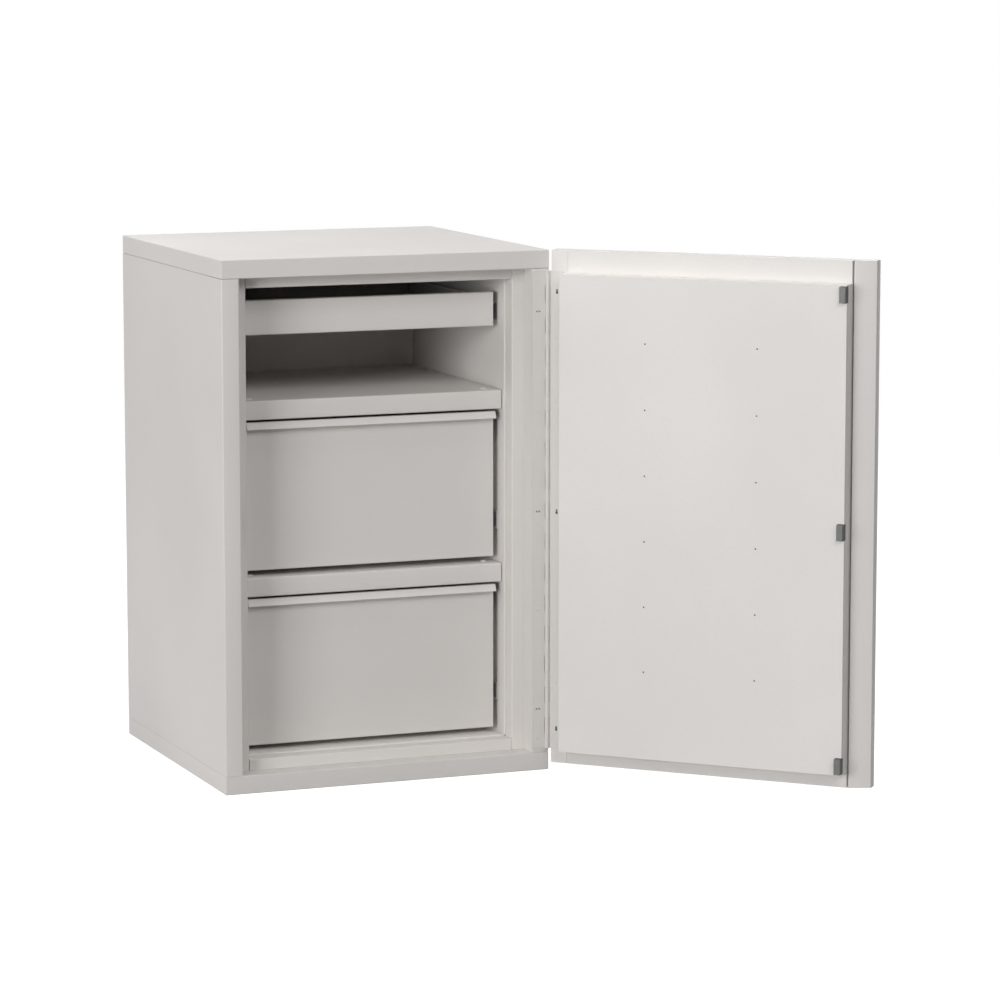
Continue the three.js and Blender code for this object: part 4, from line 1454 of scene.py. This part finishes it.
@dataclass
class HingeScrews(SubAssembly):
    """Countersunk screws: painted in the leaves' round holes, bare on dark washers in the long ones, which paint
    the holes' shade.
    """

    leaf_face: float = 2.5
    head: Profile = ((0, 1.1), (1.44, 1.1), (2.4, 0), (2.4, -0.12), (2.064, -0.3), (0, -0.3))
    recess: Pair = (-1.5, 1.5)
    recess_width: Pair = (-0.35, 0.35)
    recess_reach: Pair = (-1.3, 0.8)
    sunk_share: float = 0.8
    sunk_depth: float = 0.7
    # The washers are dark steel so that the long holes show painted shade.
    shade_washer: Pair = (4.3, 1.2)
    shade_washer_rise: Pair = (0.9, 1.4)
    first_turn: float = 8
    turn_step: float = 23

    def make(self) -> None:
        """Puts a row of screws in each leaf."""
        bars = (
            block(self.recess, self.recess_reach, self.recess_width),
            block(self.recess_width, self.recess_reach, self.recess),
        )
        head = combined(turned(self.head, Axis.Y, steps=20), combined(*bars, "UNION"))
        small = copied(head, Matrix.Scale(self.sunk_share, 4))
        sunk = self.leaf_face + self.sunk_depth
        for row in hinge_rows(self.layout).values():
            rounds = enumerate(row.rounds(*self.layout.hinge_rise))
            longs = row.longs(*self.layout.hinge_rise)
            painted = [self.set_in(small, (row.x, sunk, z), index) for index, z in rounds]
            bare = [
                self.set_in(head, (row.x, self.leaf_face, z + row.slide), index)
                for index, z in enumerate(longs)
            ]
            # Dark washers in the long holes paint the holes' shade.
            shade_washers = [self.shade_washer_in(row, z) for z in longs]
            for kind, shapes, slot in (
                ("painted_screws", painted, row.paint),
                ("bare_screws", bare, row.bare),
                ("shade_washers", shade_washers, Slot.BOLT_STEEL),
            ):
                self.add(f"{row.leaf}_{kind}", merged(shapes), row.body, slot, place=row.place)
        head.free()
        small.free()

    def set_in(self, head: Shape, place: Sequence[float], index: int) -> Shape:
        """A screw at a place, turned a little further than the last."""
        turn = Matrix.Rotation(math.radians(self.first_turn + self.turn_step * index), 4, "Y")
        return copied(head, Matrix.Translation(place) @ turn)

    def shade_washer_in(self, row: HingeRow, z: float) -> Shape:
        """A dark washer that lies in a long hole and paints the shade in it.

        Args:
            row: The leaf's row.
            z: The hole's height.

        Returns:
            The washer, whose dark steel is painted shade in the hole.
        """
        half_x, half_z = self.shade_washer if row.long_axis is Axis.X else reversed(self.shade_washer)
        rise = tuple(self.leaf_face + depth for depth in self.shade_washer_rise)
        return block(about(row.x, half_x), rise, about(z, half_z))


@dataclass
class PlugShadePins(SubAssembly):
    """Dark pins sunk in the two rows of small holes in the door's inner panel: painted shade in the holes."""

    radius: float = 1.6
    rows: int = 6
    pitch: Pair = (222, 124.5)
    sunk: Pair = (0.15, 1.3)
    edge: float = 0.2

    def make(self) -> None:
        """Sets the twelve dark pins that paint the holes' shade."""
        x, y, z = self.layout.door_box("door_plug")
        top, foot = (y[0] + depth for depth in self.sunk)
        profile = [(0, top), (self.radius, top + self.edge), (self.radius, foot), (0, foot)]
        pins = []
        for across in about(middle(x), self.pitch[0] / 2):
            for row in range(1, self.rows + 1):
                centre = (across, 0, z[1] - row * self.pitch[1])
                pins.append(turned(profile, Axis.Y, centre, steps=16))
        # The pins are dark steel so that the holes show painted shade.
        place = self.layout.door
        self.add("plug_shade_pins", merged(pins), Body.DOOR, Slot.BOLT_STEEL, place=place)


@dataclass(frozen=True)
class Lamp:
    """A square soft box that looks at the cabinet, in metres, degrees and watts."""

    name: str
    azimuth: float
    elevation: float
    power: float
    distance: float = 9.0
    size: float = 3.6

    def make(self, aim: Vector) -> None:
        """Hangs the lamp.

        Args:
            aim: The point that it looks at.
        """
        turn, rise = math.radians(self.azimuth), math.radians(self.elevation)
        level = math.cos(rise)
        back = Vector((math.sin(turn) * level, -math.cos(turn) * level, math.sin(rise)))
        data = bpy.data.lights.new(self.name, "AREA")
        data.shape = "SQUARE"
        data.size = self.size
        data.energy = self.power
        lamp = placed(self.name, data)
        lamp.location = aim + back * self.distance
        lamp.rotation_euler = (-back).to_track_quat("-Z", "Y").to_euler()


@dataclass
class Studio:
    """Floor, sky, lamps and camera."""

    aim: Vector = field(default_factory=lambda: Vector((0, -0.2, 0.5)))
    sky_light: float = 0
    floor_reach: float = 90
    floor_color: Color = (0.86, 0.86, 0.86)
    floor_bounce: Color = (0.3, 0.3, 0.3)
    floor_glow: float = 0.78
    fade: Pair = (1.6, 5)
    focal_length: float = 148.95
    sensor: float = 36
    sight: float = 200
    camera_place: Vector = field(default_factory=lambda: Vector((-2.6443, -7.5246, 1.6413)))
    camera_azimuth: float = -21.7
    camera_tilt: float = 8.165
    lamps: tuple[Lamp, ...] = (
        Lamp("key_softbox", -55, 6, 392),
        Lamp("side_softbox", -105, 32, 150),
        Lamp("front_softbox", -5, 32, 163),
        Lamp("right_softbox", 20, 32, 94),
        Lamp("low_side_softbox", -80, 6, 65),
        Lamp("top_softbox", 0, 88, 45, distance=3.2, size=2.6),
        Lamp("rear_softbox", 180, 30, 21, size=4.0),
        Lamp("rear_right_softbox", 135, 8, 330),
        Lamp("rear_left_softbox", 175, 8, 60),
    )

    def make(self) -> None:
        """Builds the whole studio."""
        self.make_sky()
        self.make_floor()
        for lamp in self.lamps:
            lamp.make(self.aim)
        self.make_camera()

    def make_sky(self) -> None:
        """A sky that shows as white and leaves the light to the lamps."""
        world = bpy.data.worlds.new("studio_sky")
        bpy.context.scene.world = world
        bench = NodeBench.of(world)
        light, white = (
            bench.add("ShaderNodeBackground", {"Color": (1, 1, 1, 1), "Strength": strength})
            for strength in (self.sky_light, 1)
        )
        sockets = {0: bench.shown(), 1: light.outputs[0], 2: white.outputs[0]}
        mix = bench.add("ShaderNodeMixShader", sockets)
        bench.add("ShaderNodeOutputWorld", {"Surface": mix.outputs[0]})

    def make_floor(self) -> None:
        """A pale floor that keeps the cabinet's shadow near it and fades to white further off."""
        shape = bmesh.new()
        bmesh.ops.create_grid(shape, x_segments=1, y_segments=1, size=self.floor_reach)
        mesh = meshed("studio_floor", shape)
        mesh.materials.append(self.floor_material())
        placed("studio_floor", mesh)

    def floor_material(self) -> bpy.types.Material:
        """The floor's matt white, with a glow that lifts it to the sky's white.

        Returns:
            The material.
        """
        material = bpy.data.materials.new("pale_floor")
        bench = NodeBench.of(material)
        shown = bench.shown()
        length = bench.add("ShaderNodeVectorMath", {0: bench.place()}, operation="LENGTH")
        away = length.outputs["Value"]
        seen = bench.blend(bench.spread(away, *self.fade), self.floor_color, (0, 0, 0))
        color = bench.blend(shown, self.floor_bounce, seen)
        matt = bench.add("ShaderNodeBsdfDiffuse", {"Color": color})
        light = bench.spread(away, *self.fade, self.floor_glow, 1)
        lift = bench.add("ShaderNodeMath", {0: shown, 1: light}, operation="MULTIPLY")
        glow = bench.add("ShaderNodeEmission", {"Strength": lift.outputs[0]})
        both = bench.add("ShaderNodeAddShader", {0: matt.outputs[0], 1: glow.outputs[0]})
        bench.add("ShaderNodeOutputMaterial", {"Surface": both.outputs[0]})
        return material

    def make_camera(self) -> None:
        """The camera at the photograph's viewing angle."""
        data = bpy.data.cameras.new("camera")
        data.lens = self.focal_length
        data.sensor_width = self.sensor
        data.clip_end = self.sight
        camera = placed("camera", data)
        camera.location = self.camera_place
        angles = (90 - self.camera_tilt, 0, self.camera_azimuth)
        camera.rotation_euler = tuple(math.radians(angle) for angle in angles)
        bpy.context.scene.camera = camera


def main() -> None:
    """Builds the pieces in order."""
    logging.basicConfig(level=logging.INFO, format="%(name)s: %(message)s")
    bpy.context.scene.view_settings.view_transform = "Standard"
    layout = Layout()
    palette = {slot: finish.material() for slot, finish in FINISHES.items()}
    for kind in (Shell, Shelves, Tubs, Slides, DrawerFronts, DoorSkin, LockFittings):
        kind(layout, palette).make()
    for kind in (DoorLeaf, HingeScrews, PlugShadePins):
        kind(layout, palette).make()
    CarriedNodes(palette).dress()
    Studio().make()


if __name__ == "__main__":
    main()
